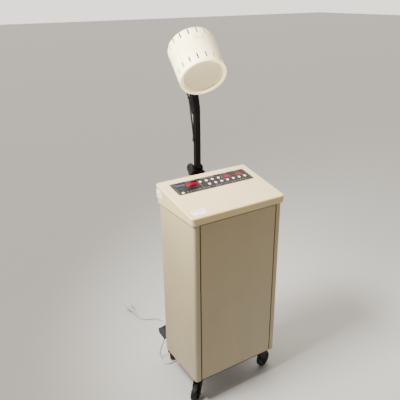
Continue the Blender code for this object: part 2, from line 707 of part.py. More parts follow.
def vents(ring):
    """Cutters for one ring of narrow slots along the drum."""
    width, length = VENT_SIZE
    shape = bmesh.new()
    for i in range(VENTS):
        angle = math.radians(VENT_PHASE + 360 * i / VENTS + 90)
        matrix = (Matrix.Rotation(-angle, 4, "Z")
                  @ Matrix.Translation((DRUM_R_REAR, 0, -DRUM_L * ring))
                  @ Matrix.Diagonal((0.02, width, length, 1.0)))
        bmesh.ops.create_cube(shape, size=1.0, matrix=matrix)
    mesh = bpy.data.meshes.new("vents")
    shape.to_mesh(mesh)
    shape.free()
    return mesh


def drum():
    """Two turned shells, the face, and the coil inside."""
    split = DRUM_L * DRUM_SEAM
    mid = drum_radius(DRUM_SEAM)
    crown = 0.012
    outer = arc((DRUM_R_REAR - crown, -crown), crown, 90, 0, 4)
    inner = arc((DRUM_R_REAR - crown, -crown), crown - DRUM_WALL, 0, 90, 4)
    rear = ([(0, 0)] + outer + [(mid, -split + FIT), (mid - DRUM_WALL, -split + FIT)]
            + inner + [(0, -DRUM_WALL)])
    shell = place("drum_rear_shell", profile(rear), DRUM, colour=CREAM_HEAD, roughness=0.35)
    turn(shell, 54)
    boolean(shell, tool("rear_vents", vents(VENT_RINGS[0]), DRUM))

    lip = 0.008
    front = ([(mid, -split - FIT)] + arc((DRUM_R_FRONT - lip, -DRUM_L + lip), lip, 0, -90, 4)
             + [(FACE_R + 0.0035, -DRUM_L), (FACE_R + 0.0012, -DRUM_L + 0.0015),
                (FACE_R + FIT, -DRUM_L + FACE_DEPTH + 0.004), (DRUM_R_FRONT - DRUM_WALL - 0.001,
                -DRUM_L + FACE_DEPTH + 0.004), (mid - DRUM_WALL, -split - FIT)])
    shell = place("drum_front_shell", profile(front, closed=True), DRUM, colour=CREAM_HEAD,
                  roughness=0.35)
    turn(shell, 54)
    boolean(shell, tool("front_vents", vents(VENT_RINGS[1]), DRUM))

    face_z = -DRUM_L + FACE_DEPTH
    face = profile([(0, face_z + 0.003), (FACE_R, face_z + 0.003), (FACE_R, face_z), (0, face_z)])
    turn(place("face_disc", face, DRUM, colour=(0.62, 0.58, 0.50), roughness=0.45), 64)
    former_z = face_z + 0.0150
    former = profile([(0, former_z + 0.003), (0.082, former_z + 0.003), (0.082, former_z),
                      (0, former_z)])
    turn(place("coil_former", former, DRUM, colour=(0.75, 0.72, 0.62), roughness=0.6), 48)
    turns, steps = 3.25, 14
    spiral = []
    for i in range(int(turns * steps) + 1):
        angle = 2 * math.pi * i / steps
        radius = 0.020 + 0.0125 * i / steps
        spiral.append((radius * math.cos(angle), radius * math.sin(angle), former_z - 0.0030))
    place("applicator_coil", tube(spiral, 0.0025), DRUM, colour=(0.72, 0.38, 0.22),
          roughness=0.3, metallic=1.0)
    around = math.radians(6)
    catch = place("head_catch", boxes(((0.037, 0.010, 0.022), (0, 0, 0)), bevel=0.0012),
                  DRUM, (-0.0905 * math.sin(around), -0.0905 * math.cos(around), -DRUM_L * 0.293),
                  (0, 0, -6), colour=CREAM_HEAD, roughness=0.4)
    boolean(catch, bpy.data.objects["drum_envelope"])


def arm_cables():
    """The applicator's cable: slack past the elbow, then into the knuckle."""
    wall = ARM_X - ARM_W / 2
    clip = Vector((-0.0250, ARM_Y + 0.004, 1.206))
    first = [(wall - 0.0040, ARM_Y, 1.030), (wall - 0.0050, ARM_Y, 1.060),
             (wall - 0.0085, ARM_Y, 1.095), (wall - 0.0145, ARM_Y + 0.001, 1.150),
             (wall - 0.0172, ARM_Y + 0.002, 1.180), tuple(clip)]
    place("arm_cable_lower", tube(route(first, 0.010), 0.0033, 2), colour=BLACK, roughness=0.5)
    gland = (UPPER_X - UPPER_W / 2 - 0.0055, HEAD_PIVOT[1] + 0.006, HEAD_PIVOT[2] + 0.012)
    second = [clip + Vector((-0.0003, 0.0003, 0.0011)), (-0.0285, ARM_Y + 0.010, 1.222),
              (-0.0285, ARM_Y + 0.020, 1.236), (-0.0225, ARM_Y + 0.0245, 1.2410), gland]
    place("arm_cable_upper", tube(route(second, 0.008), 0.0033, 2), colour=BLACK, roughness=0.5)


# ---------------------------------------------------------------- mains

def mains():
    """Inlet and switch on the rear, and the lead with its connector and plug."""
    inlet = place("mains_inlet", boxes(((0.027, 0.018, 0.020), (0, -0.008, 0))),
                  location=(CONNECTOR_X, REAR_Y, INLET_Z), colour=BLACK)
    flange = boxes(((0.030, 0.0018, 0.030), (0, FIT + 0.0009, 0)))
    boolean(inlet, tool("inlet_flange", flange, inlet), "UNION")
    recess = boxes(((0.0235, 0.0130, 0.0165), (0, -0.0035, 0)))
    boolean(inlet, tool("inlet_recess", recess, inlet))
    rocker = arc((0, 0), 0.0098, 65, 285, 12) + [(0.0010, -0.0010)]
    place("power_switch", slab(rocker, 0.0140), None,
          (SWITCH_CENTRE[0], REAR_Y, SWITCH_CENTRE[1]), UPRIGHT, colour=BLACK)

    body = [(0.0026, 0.174), (0.0026, 0.207), (0.043, 0.207), (0.075, 0.177), (0.108, 0.149),
            (0.101, 0.127), (0.064, 0.125), (0.050, 0.125), (0.030, 0.140)]
    connector = place("mains_connector", slab(rounded(body, 0.003, 2), CONNECTOR_W), None,
                      (CONNECTOR_X, REAR_Y, 0), UPRIGHT, colour=BLACK, roughness=0.5)
    tongue = boxes(((0.0225, 0.0120, 0.0155), (CONNECTOR_X, REAR_Y - 0.0030, INLET_Z)))
    boolean(connector, tool("connector_tongue", tongue), "UNION")

    x, y = COIL_CENTRE
    reach = COIL_MEAN_R
    near = [(*CORD_EXIT[:2], CORD_EXIT[2] - 0.0012), (-0.1732, REAR_Y + 0.0653, 0.112),
            (-0.1798, REAR_Y + 0.0745, 0.078)]
    near += [(-0.1940 + 0.0040 * dy / 0.028, REAR_Y + 0.054 + dy, CORD_Z + 0.028 + dz)
             for dy, dz in arc((0, 0), 0.028, 0, -90, 4)]
    near += [(-0.169 + dx, REAR_Y + 0.054 + dy, CORD_Z)
             for dx, dy in arc((0, 0), 0.029, 180, 270, 4)][1:]
    near += [(-0.139, CABINET_Y + 0.153, CORD_Z), (-0.095, CABINET_Y + 0.138, CORD_Z),
            (-0.055, CABINET_Y + 0.155, CORD_Z), (-0.036, CABINET_Y + 0.200, CORD_Z),
            (-0.0345, CABINET_Y + 0.250, CORD_Z), (x - reach - 0.0150, y - 0.012, CORD_Z)]
    place("cord_near", tube(route(near, 0.014), CORD_R, 2), colour=LEAD, roughness=0.5)
    far = [(x - reach - 0.0150, y + 0.012, CORD_Z), (-0.037, y + 0.050, CORD_Z),
           (-0.042, y + 0.110, CORD_Z), (-0.052, y + 0.160, CORD_Z), (-0.078, y + 0.192, CORD_Z),
           (-0.108, y + 0.205, CORD_Z), (-0.136, y + 0.232, CORD_Z), (-0.1445, y + 0.252, 0.0062),
           (-0.1480, y + 0.268, 0.0130), (-0.1495, y + 0.284, 0.0178), (-0.1500, y + 0.296, 0.0182)]
    place("cord_far", tube(route(far, 0.014), CORD_R, 2), colour=LEAD, roughness=0.5)
    half = COIL_SECTION / 2
    section = rounded([(reach + half, COIL_SECTION), (reach + half, 0.0), (reach - half, 0.0),
                       (reach - half, COIL_SECTION)], CORD_R, 2)
    coil = place("cord_coil", profile(section, closed=True), None, (x, y, 0),
                 colour=LEAD, roughness=0.5)
    turn(coil, 36)
    grip = [(0, 0.0), (0.0052, 0.0), (0.0070, -0.020), (0.0150, -0.026), (0.0182, -0.034),
            (0.0182, -0.056), (0.0168, -0.060), (0, -0.060)]
    plug = place("mains_plug", profile(grip), None, (-0.150, y + 0.2969, 0.0182), (90, 0, 0),
                 colour=LEAD, roughness=0.5)
    turn(plug, 36)
    prongs = [(0.0024, 0.022, (side * 0.0095, 0, -0.070)) for side in (-1, 1)]
    boolean(plug, tool("plug_prongs", rods(*prongs, sides=16), plug), "UNION")


CONSOLE = frame("console", (0, CABINET_Y - CAP_D / 2, CAP_FRONT_Z),
                (math.degrees(CAP_SLOPE), 0, 0))
side_panel("side_panel_left", -1)
side_panel("side_panel_right", 1)
front_panel()
rear_panel()
base_tray()
console_cap()
key_panel()
inner_parts()
for castor_name, axis, heading in CASTORS:
    castor(castor_name, axis, heading)
HEAD = frame("head", HEAD_PIVOT, (HEAD_TILT - 90, 0, HEAD_PAN))
DRUM = frame("drum", (0, -STUD_L - drum_radius(STUD_AT), STUD_AT * DRUM_L), parent=HEAD)
arm_post()
arm_clevis()
lower_arm()
upper_arm()
knuckle_and_saddle()
drum()
arm_cables()
mains()
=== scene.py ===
"""Shortwave therapy unit: materials, detail pieces, cords, floor, lights and camera.

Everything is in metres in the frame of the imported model: +Z up, the front
towards -Y, and the origin on the floor under the middle of the unit.
"""
from math import atan2, cos, degrees, pi, radians, sin, sqrt, tan

import bmesh
import bpy
from mathutils import Matrix, Vector


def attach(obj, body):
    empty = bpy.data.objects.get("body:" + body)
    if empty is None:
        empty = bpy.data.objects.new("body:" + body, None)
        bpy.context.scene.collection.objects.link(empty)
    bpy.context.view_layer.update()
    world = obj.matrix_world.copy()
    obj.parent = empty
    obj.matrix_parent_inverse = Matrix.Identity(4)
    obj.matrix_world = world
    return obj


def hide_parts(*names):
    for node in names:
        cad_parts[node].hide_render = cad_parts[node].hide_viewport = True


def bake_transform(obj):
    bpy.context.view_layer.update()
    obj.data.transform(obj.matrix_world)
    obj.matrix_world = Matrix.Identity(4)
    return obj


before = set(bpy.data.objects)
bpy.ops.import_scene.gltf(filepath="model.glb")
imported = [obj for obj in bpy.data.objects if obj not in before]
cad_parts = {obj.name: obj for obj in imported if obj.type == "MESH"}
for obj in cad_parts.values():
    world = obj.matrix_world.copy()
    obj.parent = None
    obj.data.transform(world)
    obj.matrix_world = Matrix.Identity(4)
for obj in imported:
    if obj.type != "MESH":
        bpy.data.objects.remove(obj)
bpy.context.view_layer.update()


def shift(x, y, z):
    return Matrix.Translation((x, y, z))


def spin(angle, axis):
    return Matrix.Rotation(radians(angle), 4, axis)


def mm(*points):
    """Points given in millimetres."""
    return [(x / 1000, y / 1000) for x, y in points]


def linked(made):
    bpy.context.scene.collection.objects.link(made)
    return made


# Places that the model shares with its CAD
CAB_Y = -0.0725  # middle of the cabinet
HALF_W = 0.2
FRONT_Y = CAB_Y - 0.131
REAR_Y = CAB_Y + 0.131
CAB_LOW, CAB_HIGH = 0.123, 0.824
CAP_W, CAP_D, FLARE = 0.412, 0.274, 0.01  # the cap is FLARE wider at its top
CAP_FRONT_Z, CAP_REAR_Z = 0.856, 0.906
ARM_X, ARM_Y, ARM_W = 0.007, CAB_Y + 0.18, 0.024
SHOULDER_Z, ELBOW_Z = 0.915, 1.15
PIVOT = Vector((0.005, ARM_Y + 0.0168, 1.2239))
DRUM_L, DRUM_REAR_R, DRUM_FRONT_R = 0.1694, 0.0935, 0.0905
DRUM_SEAM, STUD_AT, STUD_L = 0.525, 0.75, 0.028
WHEEL_R, TRAIL = 0.0365, 0.03  # TRAIL is from a castor's swivel to its axle
CORD_R = 0.0035
CORD_Z = CORD_R + 0.0002
CONNECTOR_X = -0.168
CORD_EXIT = (CONNECTOR_X - 0.004, CAB_Y + 0.195, 0.125)
SWITCH_X, INLET_Z = -0.128, 0.19
COIL = (0.02, CAB_Y + 0.305)
FAN = (0.085, 0.64)  # its middle on the rear panel

CONSOLE = shift(0, CAB_Y - CAP_D / 2, CAP_FRONT_Z) @ Matrix.Rotation(
    atan2(CAP_REAR_Z - CAP_FRONT_Z, CAP_D), 4, "X")
HEAD = shift(*PIVOT) @ spin(-10.5, "Z") @ spin(38.1 - 90, "X")


def drum_r(share):
    """Radius of the drum at a share of its length from the rear."""
    return DRUM_REAR_R + (DRUM_FRONT_R - DRUM_REAR_R) * share


DRUM = HEAD @ shift(0, -STUD_L - drum_r(STUD_AT), STUD_AT * DRUM_L)
UPRIGHT = Matrix(((0, 0, 1, 0), (1, 0, 0, 0), (0, 1, 0, 0), (0, 0, 0, 1)))
ROOT = "cabinet"
PANEL = (0.0045, 0.201)  # middle of the key panel on the console
KEY_ROWS = (("key_preset", (-0.0435, 0.2175), 4), ("key_mode", (-0.0165, 0.19), 3),
            ("key_output", (0.069, 0.19), 4), ("key_power", (-0.148, 0.169), 1))
CASTORS = (("front_left", (-0.158, CAB_Y - 0.079), 215),
           ("front_right", (0.158, CAB_Y - 0.085), 15),
           ("rear_left", (-0.124, CAB_Y + 0.213), 240),
           ("rear_right", (0.124, CAB_Y + 0.213), 285))


# ---- camera

def camera():
    """The viewing position, a little above the head and to the left of the front."""
    data = bpy.data.cameras.new("camera")
    data.lens = 44.53
    data.sensor_width = 36
    eye = linked(bpy.data.objects.new("camera", data))
    eye.matrix_world = (shift(-0.9992, -1.4716 + CAB_Y, 1.5808) @ spin(-31.629, "Z")
                        @ spin(90 - 22.744, "X") @ spin(-0.6475, "Z"))
    bpy.context.scene.camera = eye


camera()


# ---- materials

class Tree:
    """A node tree whose nodes are added one by one."""

    def __init__(self, tree):
        self.tree = tree

    def node(self, kind, **inputs):
        made = self.tree.nodes.new("ShaderNode" + kind)
        for key, value in inputs.items():
            self.feed(made.inputs[key.replace("_", " ")], value)
        return made

    def feed(self, socket, value):
        if isinstance(value, bpy.types.NodeSocket):
            self.tree.links.new(value, socket)
        else:
            socket.default_value = value

    def span(self, value, low, high, to_low=0, to_high=1, kind="SMOOTHSTEP"):
        """A value taken from low..high to to_low..to_high."""
        made = self.node("MapRange", Value=value, From_Min=low, From_Max=high,
                         To_Min=to_low, To_Max=to_high)
        made.interpolation_type = kind
        return made.outputs["Result"]

    def math(self, operation, a, b):
        made = self.node("Math")
        made.operation = operation
        self.feed(made.inputs[0], a)
        self.feed(made.inputs[1], b)
        return made.outputs[0]


class Shader(Tree):
    """A material built on one Principled shader."""

    def __init__(self, name, roughness, metallic=0, **sockets):
        self.material = bpy.data.materials.new(name)
        self.material.use_nodes = True
        super().__init__(self.material.node_tree)
        self.inputs = self.tree.nodes["Principled BSDF"].inputs
        sockets.update(Roughness=roughness, Metallic=metallic)
        for key, value in sockets.items():
            self.inputs[key.replace("_", " ")].default_value = value
        self.place = self.node("TexCoord").outputs["Object"]

    def noise(self, scale, detail=3, roughness=0.55, place=None):
        return self.node("TexNoise", Scale=scale, Detail=detail, Roughness=roughness,
                         Vector=place or self.place).outputs["Fac"]

    def streaks(self, scale, stretch):
        """Noise drawn out along an axis, stretch being its scale on X, Y and Z."""
        spread = self.node("Mapping", Vector=self.place, Scale=stretch)
        return self.noise(scale, 4, 0.6, spread.outputs["Vector"])

    def mix(self, factor, a, b):
        made = self.node("Mix")
        made.data_type = "RGBA"
        for index, given in ((0, factor), (6, a), (7, b)):
            self.feed(made.inputs[index], (*given, 1) if isinstance(given, tuple) else given)
        return made.outputs[2]

    def shades(self, value, colour, low, high):
        """The colour times low where the value is 0, and times high where it is 1."""
        return self.mix(value, *[tuple(min(1, channel * factor) for channel in colour)
                                 for factor in (low, high)])

    def colour(self, tone):
        self.feed(self.inputs["Base Color"], tone)

    def rough(self, value, low, high):
        """Roughness that wanders from low to high with the value."""
        self.feed(self.inputs["Roughness"], self.span(value, 0.3, 0.7, low, high))

    def bump(self, height, distance, strength=1):
        made = self.node("Bump", Height=height, Distance=distance, Strength=strength)
        normal = self.inputs["Normal"]
        if normal.is_linked:
            self.feed(made.inputs["Normal"], normal.links[0].from_socket)
        self.feed(normal, made.outputs["Normal"])


def enamel(name, colour, roughness=0.38, floor_shade=0):
    """Stove enamel: fine orange peel, slight clouding, and streaky painted shade darkening towards
    the floor.
    """
    s = Shader(name, roughness, Coat_Weight=0.12, Coat_Roughness=0.25)
    tone = s.shades(s.span(s.noise(4, 4), 0.35, 0.68), colour, 0.955, 1.02)
    fleck = s.span(s.noise(95, 5, 0.65), 0.6, 0.8, 0, 0.16)
    tone = s.mix(fleck, tone, tuple(0.8 * channel for channel in colour))
    # Painted shade: the colour darkens from 0.8 m down to 0.1 m, broken up by streaks.
    if floor_shade:
        height = s.node("SeparateXYZ", Vector=s.place).outputs["Z"]
        fall = s.span(height, 0.8, 0.1, 0, floor_shade)
        streaking = s.span(s.streaks(7, (1, 1, 0.25)), 0.34, 0.7, 0.35, 1)
        tone = s.mix(s.math("MULTIPLY", fall, streaking), tone, (0.33, 0.27, 0.19))
    s.colour(tone)
    s.rough(s.noise(18, 4), roughness - 0.05, roughness + 0.09)
    s.bump(s.noise(620, 2, 0.5), 0.00012)
    s.bump(s.noise(26, 2, 0.4), 0.0004, 0.35)
    return s.material


def moulded(name, colour, roughness, grain=0.0001, scale=900, mottle=0.05, dust=0):
    """Moulded plastic or rubber with a fine eroded texture."""
    s = Shader(name, roughness, Specular_IOR_Level=0.5 if colour[0] > 0.1 else 0.25)
    tone = s.shades(s.span(s.noise(11, 4), 0.35, 0.65), colour, 1 - mottle, 1 + mottle)
    if dust:
        settled = s.span(s.noise(42, 6, 0.7), 0.46, 0.78, 0, dust)
        tone = s.mix(settled, tone, (0.34, 0.31, 0.27))
    s.colour(tone)
    s.rough(s.noise(30, 4), roughness - 0.07, roughness + 0.1)
    s.bump(s.noise(scale, 3, 0.6), grain)
    return s.material


def black_enamel(name):
    """Satin black paint, rubbed grey in places."""
    s = Shader(name, 0.42, Specular_IOR_Level=0.13)
    worn = s.span(s.streaks(36, (1, 1, 0.22)), 0.6, 0.82, 0, 0.55)
    s.colour(s.mix(worn, (0.003, 0.003, 0.004), (0.016, 0.015, 0.015)))
    s.rough(s.noise(55, 4), 0.3, 0.47)
    s.bump(s.noise(520, 2), 0.00012)
    return s.material


def metal(name, colour, roughness=0.3, stretch=(1, 1, 30)):
    """Bare metal with fine drawn marks."""
    s = Shader(name, roughness, 1)
    lines = s.streaks(60, stretch)
    s.colour(s.shades(s.span(lines, 0.3, 0.7), colour, 0.86, 1.06))
    s.rough(lines, roughness - 0.06, roughness + 0.12)
    s.bump(lines, 0.00006)
    return s.material


def film(name, colour, roughness=0.22):
    """Printed film over a panel, faintly pebbled."""
    s = Shader(name, roughness, Specular_IOR_Level=0.25)
    s.colour(s.shades(s.span(s.noise(60), 0.3, 0.7), colour, 0.85, 1.15))
    s.rough(s.noise(38, 5), roughness - 0.05, roughness + 0.12)
    s.bump(s.noise(1500, 2), 0.00004)
    return s.material


def pane(name, colour, glow=0):
    """A tinted window with a clear glossy front."""
    s = Shader(name, 0.12, Specular_IOR_Level=0.25)
    s.colour(s.shades(s.span(s.noise(70, 2), 0.3, 0.7), colour, 0.8, 1.2))
    if glow:
        s.inputs["Emission Color"].default_value = (*colour, 1)
        s.inputs["Emission Strength"].default_value = glow
    s.bump(s.noise(160, 2), 0.00003)
    return s.material


# The cabinet's enamel is the cap's cream darkened: painted shade on the sides and covers.
SHADED_CREAM = enamel("cream_enamel_shaded", (0.455, 0.37, 0.215), floor_shade=0.42)
CAP_CREAM = enamel("cap_enamel", (0.72, 0.575, 0.3), 0.35)
HEAD_CREAM = moulded("head_plastic", (0.95, 0.845, 0.53), 0.34, 0.00006, 700, 0.025)
# The face disc's colour is the head's cream darkened: painted shade in its recess.
SHADED_FACE = moulded("face_board", (0.4, 0.35, 0.255), 0.5, 0.0001, 420, 0.05)
BLACK = black_enamel("black_enamel")
BLACK_PLASTIC = moulded("black_plastic", (0.009, 0.009, 0.01), 0.44, mottle=0.15)
KNOB = moulded("knob_plastic", (0.007, 0.007, 0.008), 0.38, mottle=0.15)
RUBBER = moulded("wheel_rubber", (0.012, 0.012, 0.013), 0.62, 0.0002, 600, 0.2, dust=0.22)
HUB = moulded("wheel_hub", (0.022, 0.022, 0.024), 0.42, mottle=0.1, dust=0.12)
SHEATH = moulded("lead_sheath", (0.66, 0.66, 0.64), 0.42, 0.00008, 500, 0.06, dust=0.12)
CABLE = moulded("cable_sheath", (0.007, 0.007, 0.008), 0.46, 0.00008, 500, 0.2)
PRINT = film("panel_print", (0.01, 0.006, 0.006))
BORDER = film("panel_border", (0.04, 0.03, 0.024), 0.3)
INK = film("panel_ink", (0.26, 0.21, 0.23), 0.4)
BLUE_INK = film("panel_blue", (0.045, 0.05, 0.1), 0.4)
RED = pane("red_window", (0.06, 0.001, 0.006), 0.05)
GREEN = pane("green_window", (0.002, 0.022, 0.015))
LIT = pane("lit_segment", (0.3, 0.008, 0.022), 0.5)
KEY = moulded("key_plastic", (0.8, 0.78, 0.77), 0.36, 0.00006, 800, 0.03)
LABEL = film("label_paper", (0.92, 0.9, 0.98), 0.5)
LABEL_INK = film("label_ink", (0.25, 0.16, 0.5), 0.5)
STEEL = metal("steel", (0.62, 0.61, 0.6))
ZINC = metal("zinc_screw", (0.55, 0.54, 0.52), 0.36, (1, 1, 1))
BLACKED = metal("blacked_steel", (0.035, 0.035, 0.038), 0.42, (1, 1, 1))
BRASS = metal("brass", (0.72, 0.53, 0.25), 0.28)
COPPER = metal("copper", (0.78, 0.42, 0.27), 0.3)
BOARD = moulded("circuit_board", (0.02, 0.13, 0.055), 0.4, mottle=0.15)
IRON = moulded("transformer_iron", (0.1, 0.085, 0.075), 0.55, 0.0002, 500, 0.2)
FORMER = moulded("former_board", (0.7, 0.66, 0.54), 0.55)
# Painted shade for the gaps round the front cover.
GAP_SHADE = moulded("gap_shade_dark", (0.055, 0.034, 0.018), 0.8)
# Painted shade for the inside of the drum.
SHADE_DARK = moulded("painted_shade_dark", (0.012, 0.011, 0.01), 0.8)
WINDOWS = (("display_left", (-0.082, 0.2165), (0.06, 0.031), RED),
           ("display_middle", (0.083, 0.2165), (0.036, 0.029), RED),
           ("display_right", (0.14, 0.2165), (0.036, 0.029), RED),
           ("status_window", (-0.141, 0.2), (0.028, 0.017), GREEN))


# ---- shapes

def arc(centre, radius, start, end, steps):
    """Points of an arc, angles in degrees."""
    angles = [radians(start + (end - start) * i / steps) for i in range(steps + 1)]
    return [(centre[0] + radius * cos(a), centre[1] + radius * sin(a)) for a in angles]


def rounded(corners, radius, steps, closed=True):
    """A polyline with its corners turned into arcs; radius may be a list."""
    radii = radius if isinstance(radius, list) else [radius] * len(corners)
    points = []
    for i, (corner, r) in enumerate(zip(corners, radii)):
        here = Vector(corner)
        if r == 0 or (not closed and i in (0, len(corners) - 1)):
            points.append(tuple(here))
            continue
        before = (Vector(corners[i - 1]) - here).normalized()
        after = (Vector(corners[(i + 1) % len(corners)]) - here).normalized()
        half = before.angle(after) / 2
        centre = here + (before + after).normalized() * r / sin(half)
        first = here + before * (r / tan(half)) - centre
        last = here + after * (r / tan(half)) - centre
        for k in range(steps + 1):
            spoke = first.slerp(last, k / steps, first)
            points.append(tuple(centre + spoke.normalized() * r))
    return points


def rectangle(width, height, x=0, y=0):
    w, h = width / 2, height / 2
    return [(x - w, y - h), (x + w, y - h), (x + w, y + h), (x - w, y + h)]


def pill(width, height, x=0, y=0, steps=6):
    """A rectangle with half-round short ends."""
    r = min(width, height) / 2 - 0.00001
    return rounded(rectangle(width, height, x, y), r, steps)


def stadium(start, end, radius):
    along = degrees(atan2(end[1] - start[1], end[0] - start[0]))
    return (arc(end, radius, along - 90, along + 90, 16)
            + arc(start, radius, along + 90, along + 270, 16))


def prism(outline, low, high, into=None):
    """An outline in XY taken from low to high, as a closed solid."""
    shape = into or bmesh.new()
    bottom = [shape.verts.new((x, y, low)) for x, y in outline]
    top = [shape.verts.new((x, y, high)) for x, y in outline]
    shape.faces.new(bottom[::-1])
    shape.faces.new(top)
    for i in range(len(outline)):
        j = (i + 1) % len(outline)
        shape.faces.new((bottom[i], bottom[j], top[j], top[i]))
    return shape


def slab(size, radius, steps, low, high):
    """A prism on a rectangle with round corners: width, height and maybe its middle."""
    return prism(rounded(rectangle(*size), radius, steps), low, high)


def turned(outline, steps, wave=lambda angle, r, z: r):
    """A closed (radius, height) outline turned about Z; points on the axis are merged.

    wave may give each point another radius."""
    shape = bmesh.new()
    rings = []
    for i in range(steps):
        angle = 2 * pi * i / steps
        spread = [(wave(angle, r, z), z) for r, z in outline]
        rings.append([shape.verts.new((r * cos(angle), r * sin(angle), z)) for r, z in spread])
    count = len(outline)
    for i in range(steps):
        near, far = rings[i], rings[(i + 1) % steps]
        for k in range(count):
            n = (k + 1) % count
            if outline[k][0] or outline[n][0]:
                shape.faces.new((near[k], far[k], far[n], near[n]))
    bmesh.ops.remove_doubles(shape, verts=shape.verts, dist=1e-6)
    bmesh.ops.dissolve_degenerate(shape, edges=shape.edges, dist=1e-6)
    bmesh.ops.recalc_face_normals(shape, faces=shape.faces)
    return shape


def band(path, thickness, low, high):
    """A folded sheet: an open path in XY with the thickness on its right side."""
    points = [Vector(p) for p in path]
    inner = []
    for i, p in enumerate(points):
        before = (p - points[i - 1]).normalized() if i else None
        after = (points[i + 1] - p).normalized() if i < len(points) - 1 else None
        before, after = before or after, after or before
        normal = Vector((before.y + after.y, -before.x - after.x)).normalized()
        inner.append(p + normal * thickness / max(0.3, normal.dot(Vector((before.y, -before.x)))))
    return prism([tuple(p) for p in points] + [tuple(p) for p in reversed(inner)], low, high)


def block(size, centre=(0, 0, 0), into=None):
    shape = into or bmesh.new()
    bmesh.ops.create_cube(shape, size=1, matrix=shift(*centre) @ Matrix.Diagonal((*size, 1)))
    return shape


def rod(radius, length, centre=(0, 0, 0), axis="Z", sides=32):
    shape = bmesh.new()
    turn = {"X": spin(90, "Y"), "Y": spin(-90, "X"), "Z": Matrix.Identity(4)}[axis]
    bmesh.ops.create_cone(shape, cap_ends=True, segments=sides, radius1=radius, radius2=radius,
                          depth=length, matrix=shift(*centre) @ turn)
    return shape


def soften(shape, width, segments, angle=35, where=None):
    """Rounds the edges that are sharper than the angle."""
    shape.normal_update()
    limit = radians(angle)
    edges = [e for e in shape.edges if e.is_manifold and e.calc_face_angle(0) > limit
             and (where is None or where(e))]
    if edges:
        bmesh.ops.bevel(shape, geom=edges, offset=width, segments=segments, profile=0.5,
                        affect="EDGES", clamp_overlap=True)
    return shape


def moved(shape, matrix):
    bmesh.ops.transform(shape, matrix=matrix, verts=shape.verts)
    return shape


def baked(shape, name="part"):
    """The mesh of a shape, which is used up."""
    mesh = bpy.data.meshes.new(name)
    shape.to_mesh(mesh)
    shape.free()
    return mesh


def joined(first, *others):
    """Several shapes as one, without uniting their solids."""
    for other in others:
        mesh = baked(other)
        first.from_mesh(mesh)
        bpy.data.meshes.remove(mesh)
    return first


def boolean(shape, other, operation="DIFFERENCE"):
    """The shape with the other one cut out of it or joined on to it."""
    holders = [linked(bpy.data.objects.new("part", baked(part))) for part in (shape, other)]
    modifier = holders[0].modifiers.new("boolean", "BOOLEAN")
    modifier.operation = operation
    modifier.object = holders[1]
    modifier.solver = "EXACT"
    graph = bpy.context.evaluated_depsgraph_get()
    meshes = [bpy.data.meshes.new_from_object(holders[0].evaluated_get(graph))]
    result = bmesh.new()
    result.from_mesh(meshes[0])
    for holder in holders:
        meshes.append(holder.data)
        bpy.data.objects.remove(holder, do_unlink=True)
    for mesh in meshes:
        bpy.data.meshes.remove(mesh)
    return result


def piece(name, shape, body, material, matrix=None, stands_for=None, sharp=40):
    """A finished piece that rides on a body of the model."""
    if matrix is not None:
        moved(shape, matrix)
    mesh = baked(shape, name)
    made = linked(bpy.data.objects.new(name, mesh))
    mesh.materials.append(material)
    mesh.shade_smooth()
    mesh.set_sharp_from_angle(angle=radians(sharp))
    even = made.modifiers.new("even", "WEIGHTED_NORMAL")
    even.keep_sharp = True
    even.weight = 80
    if body:
        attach(made, body)
    if stands_for:
        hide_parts(stands_for)
    return made


def sweep(path, radii, sides):
    """A round bar along a path, with a radius for each of its points."""
    shape = bmesh.new()
    points = [Vector(p) for p in path]
    normal = (points[1] - points[0]).normalized().orthogonal().normalized()
    rings = []
    for i, p in enumerate(points):
        ahead = (points[min(i + 1, len(points) - 1)] - points[max(i - 1, 0)]).normalized()
        normal = (normal - ahead * normal.dot(ahead)).normalized()
        side = ahead.cross(normal)
        rings.append([shape.verts.new(p + radii[i] * (normal * cos(a) + side * sin(a)))
                      for a in (2 * pi * k / sides for k in range(sides))])
    for near, far in zip(rings, rings[1:]):
        for k in range(sides):
            n = (k + 1) % sides
            shape.faces.new((near[k], near[n], far[n], far[k]))
    shape.faces.new(rings[0][::-1])
    shape.faces.new(rings[-1])
    bmesh.ops.recalc_face_normals(shape, faces=shape.faces)
    return shape


def four(x, y, dx, dy):
    """The corners about a point."""
    return [(x + i, y + j) for i in (-dx, dx) for j in (-dy, dy)]


def screws(name, radius, height, outward, places):
    """A set of like screws that face one way, with domed heads and cross recesses."""
    dome = [(0, 1), (0.45, 0.93), (0.8, 0.62), (0.97, 0.25), (1, 0), (0, 0)]
    dome = turned([(radius * r, height * z) for r, z in dome], 24)
    cross = [block((radius * a, radius * b, height), (0, 0, height * 0.95))
             for a, b in ((1.15, 0.26), (0.26, 1.15))]
    head = boolean(dome, boolean(*cross, "UNION"))
    aim = Vector(outward).to_track_quat("Z", "Y").to_matrix().to_4x4()
    heads = [moved(head.copy(), shift(*point) @ aim @ spin(37 * k, "Z"))
             for k, point in enumerate(places)]
    head.free()
    piece(name, joined(*heads), ROOT, ZINC, sharp=30)


def route(stations, spacing):
    """Evenly spaced points of a smooth curve through the stations."""
    knots = [Vector(p) for p in stations]
    knots = [2 * knots[0] - knots[1]] + knots + [2 * knots[-1] - knots[-2]]
    fine = []
    for a, b, c, d in zip(knots, knots[1:], knots[2:], knots[3:]):
        for k in range(24):
            t = k / 24
            fine.append(0.5 * (2 * b + (c - a) * t + (2 * a - 5 * b + 4 * c - d) * t ** 2
                               + (3 * b - a - 3 * c + d) * t ** 3))
    fine.append(knots[-2])
    lengths = [0]
    for p, q in zip(fine, fine[1:]):
        lengths.append(lengths[-1] + (q - p).length)
    count = max(2, round(lengths[-1] / spacing))
    points, k = [], 0
    for i in range(count + 1):
        want = lengths[-1] * i / count
        while k < len(fine) - 2 and lengths[k + 1] < want:
            k += 1
        share = (want - lengths[k]) / (lengths[k + 1] - lengths[k])
        points.append(fine[k].lerp(fine[k + 1], share))
    return points


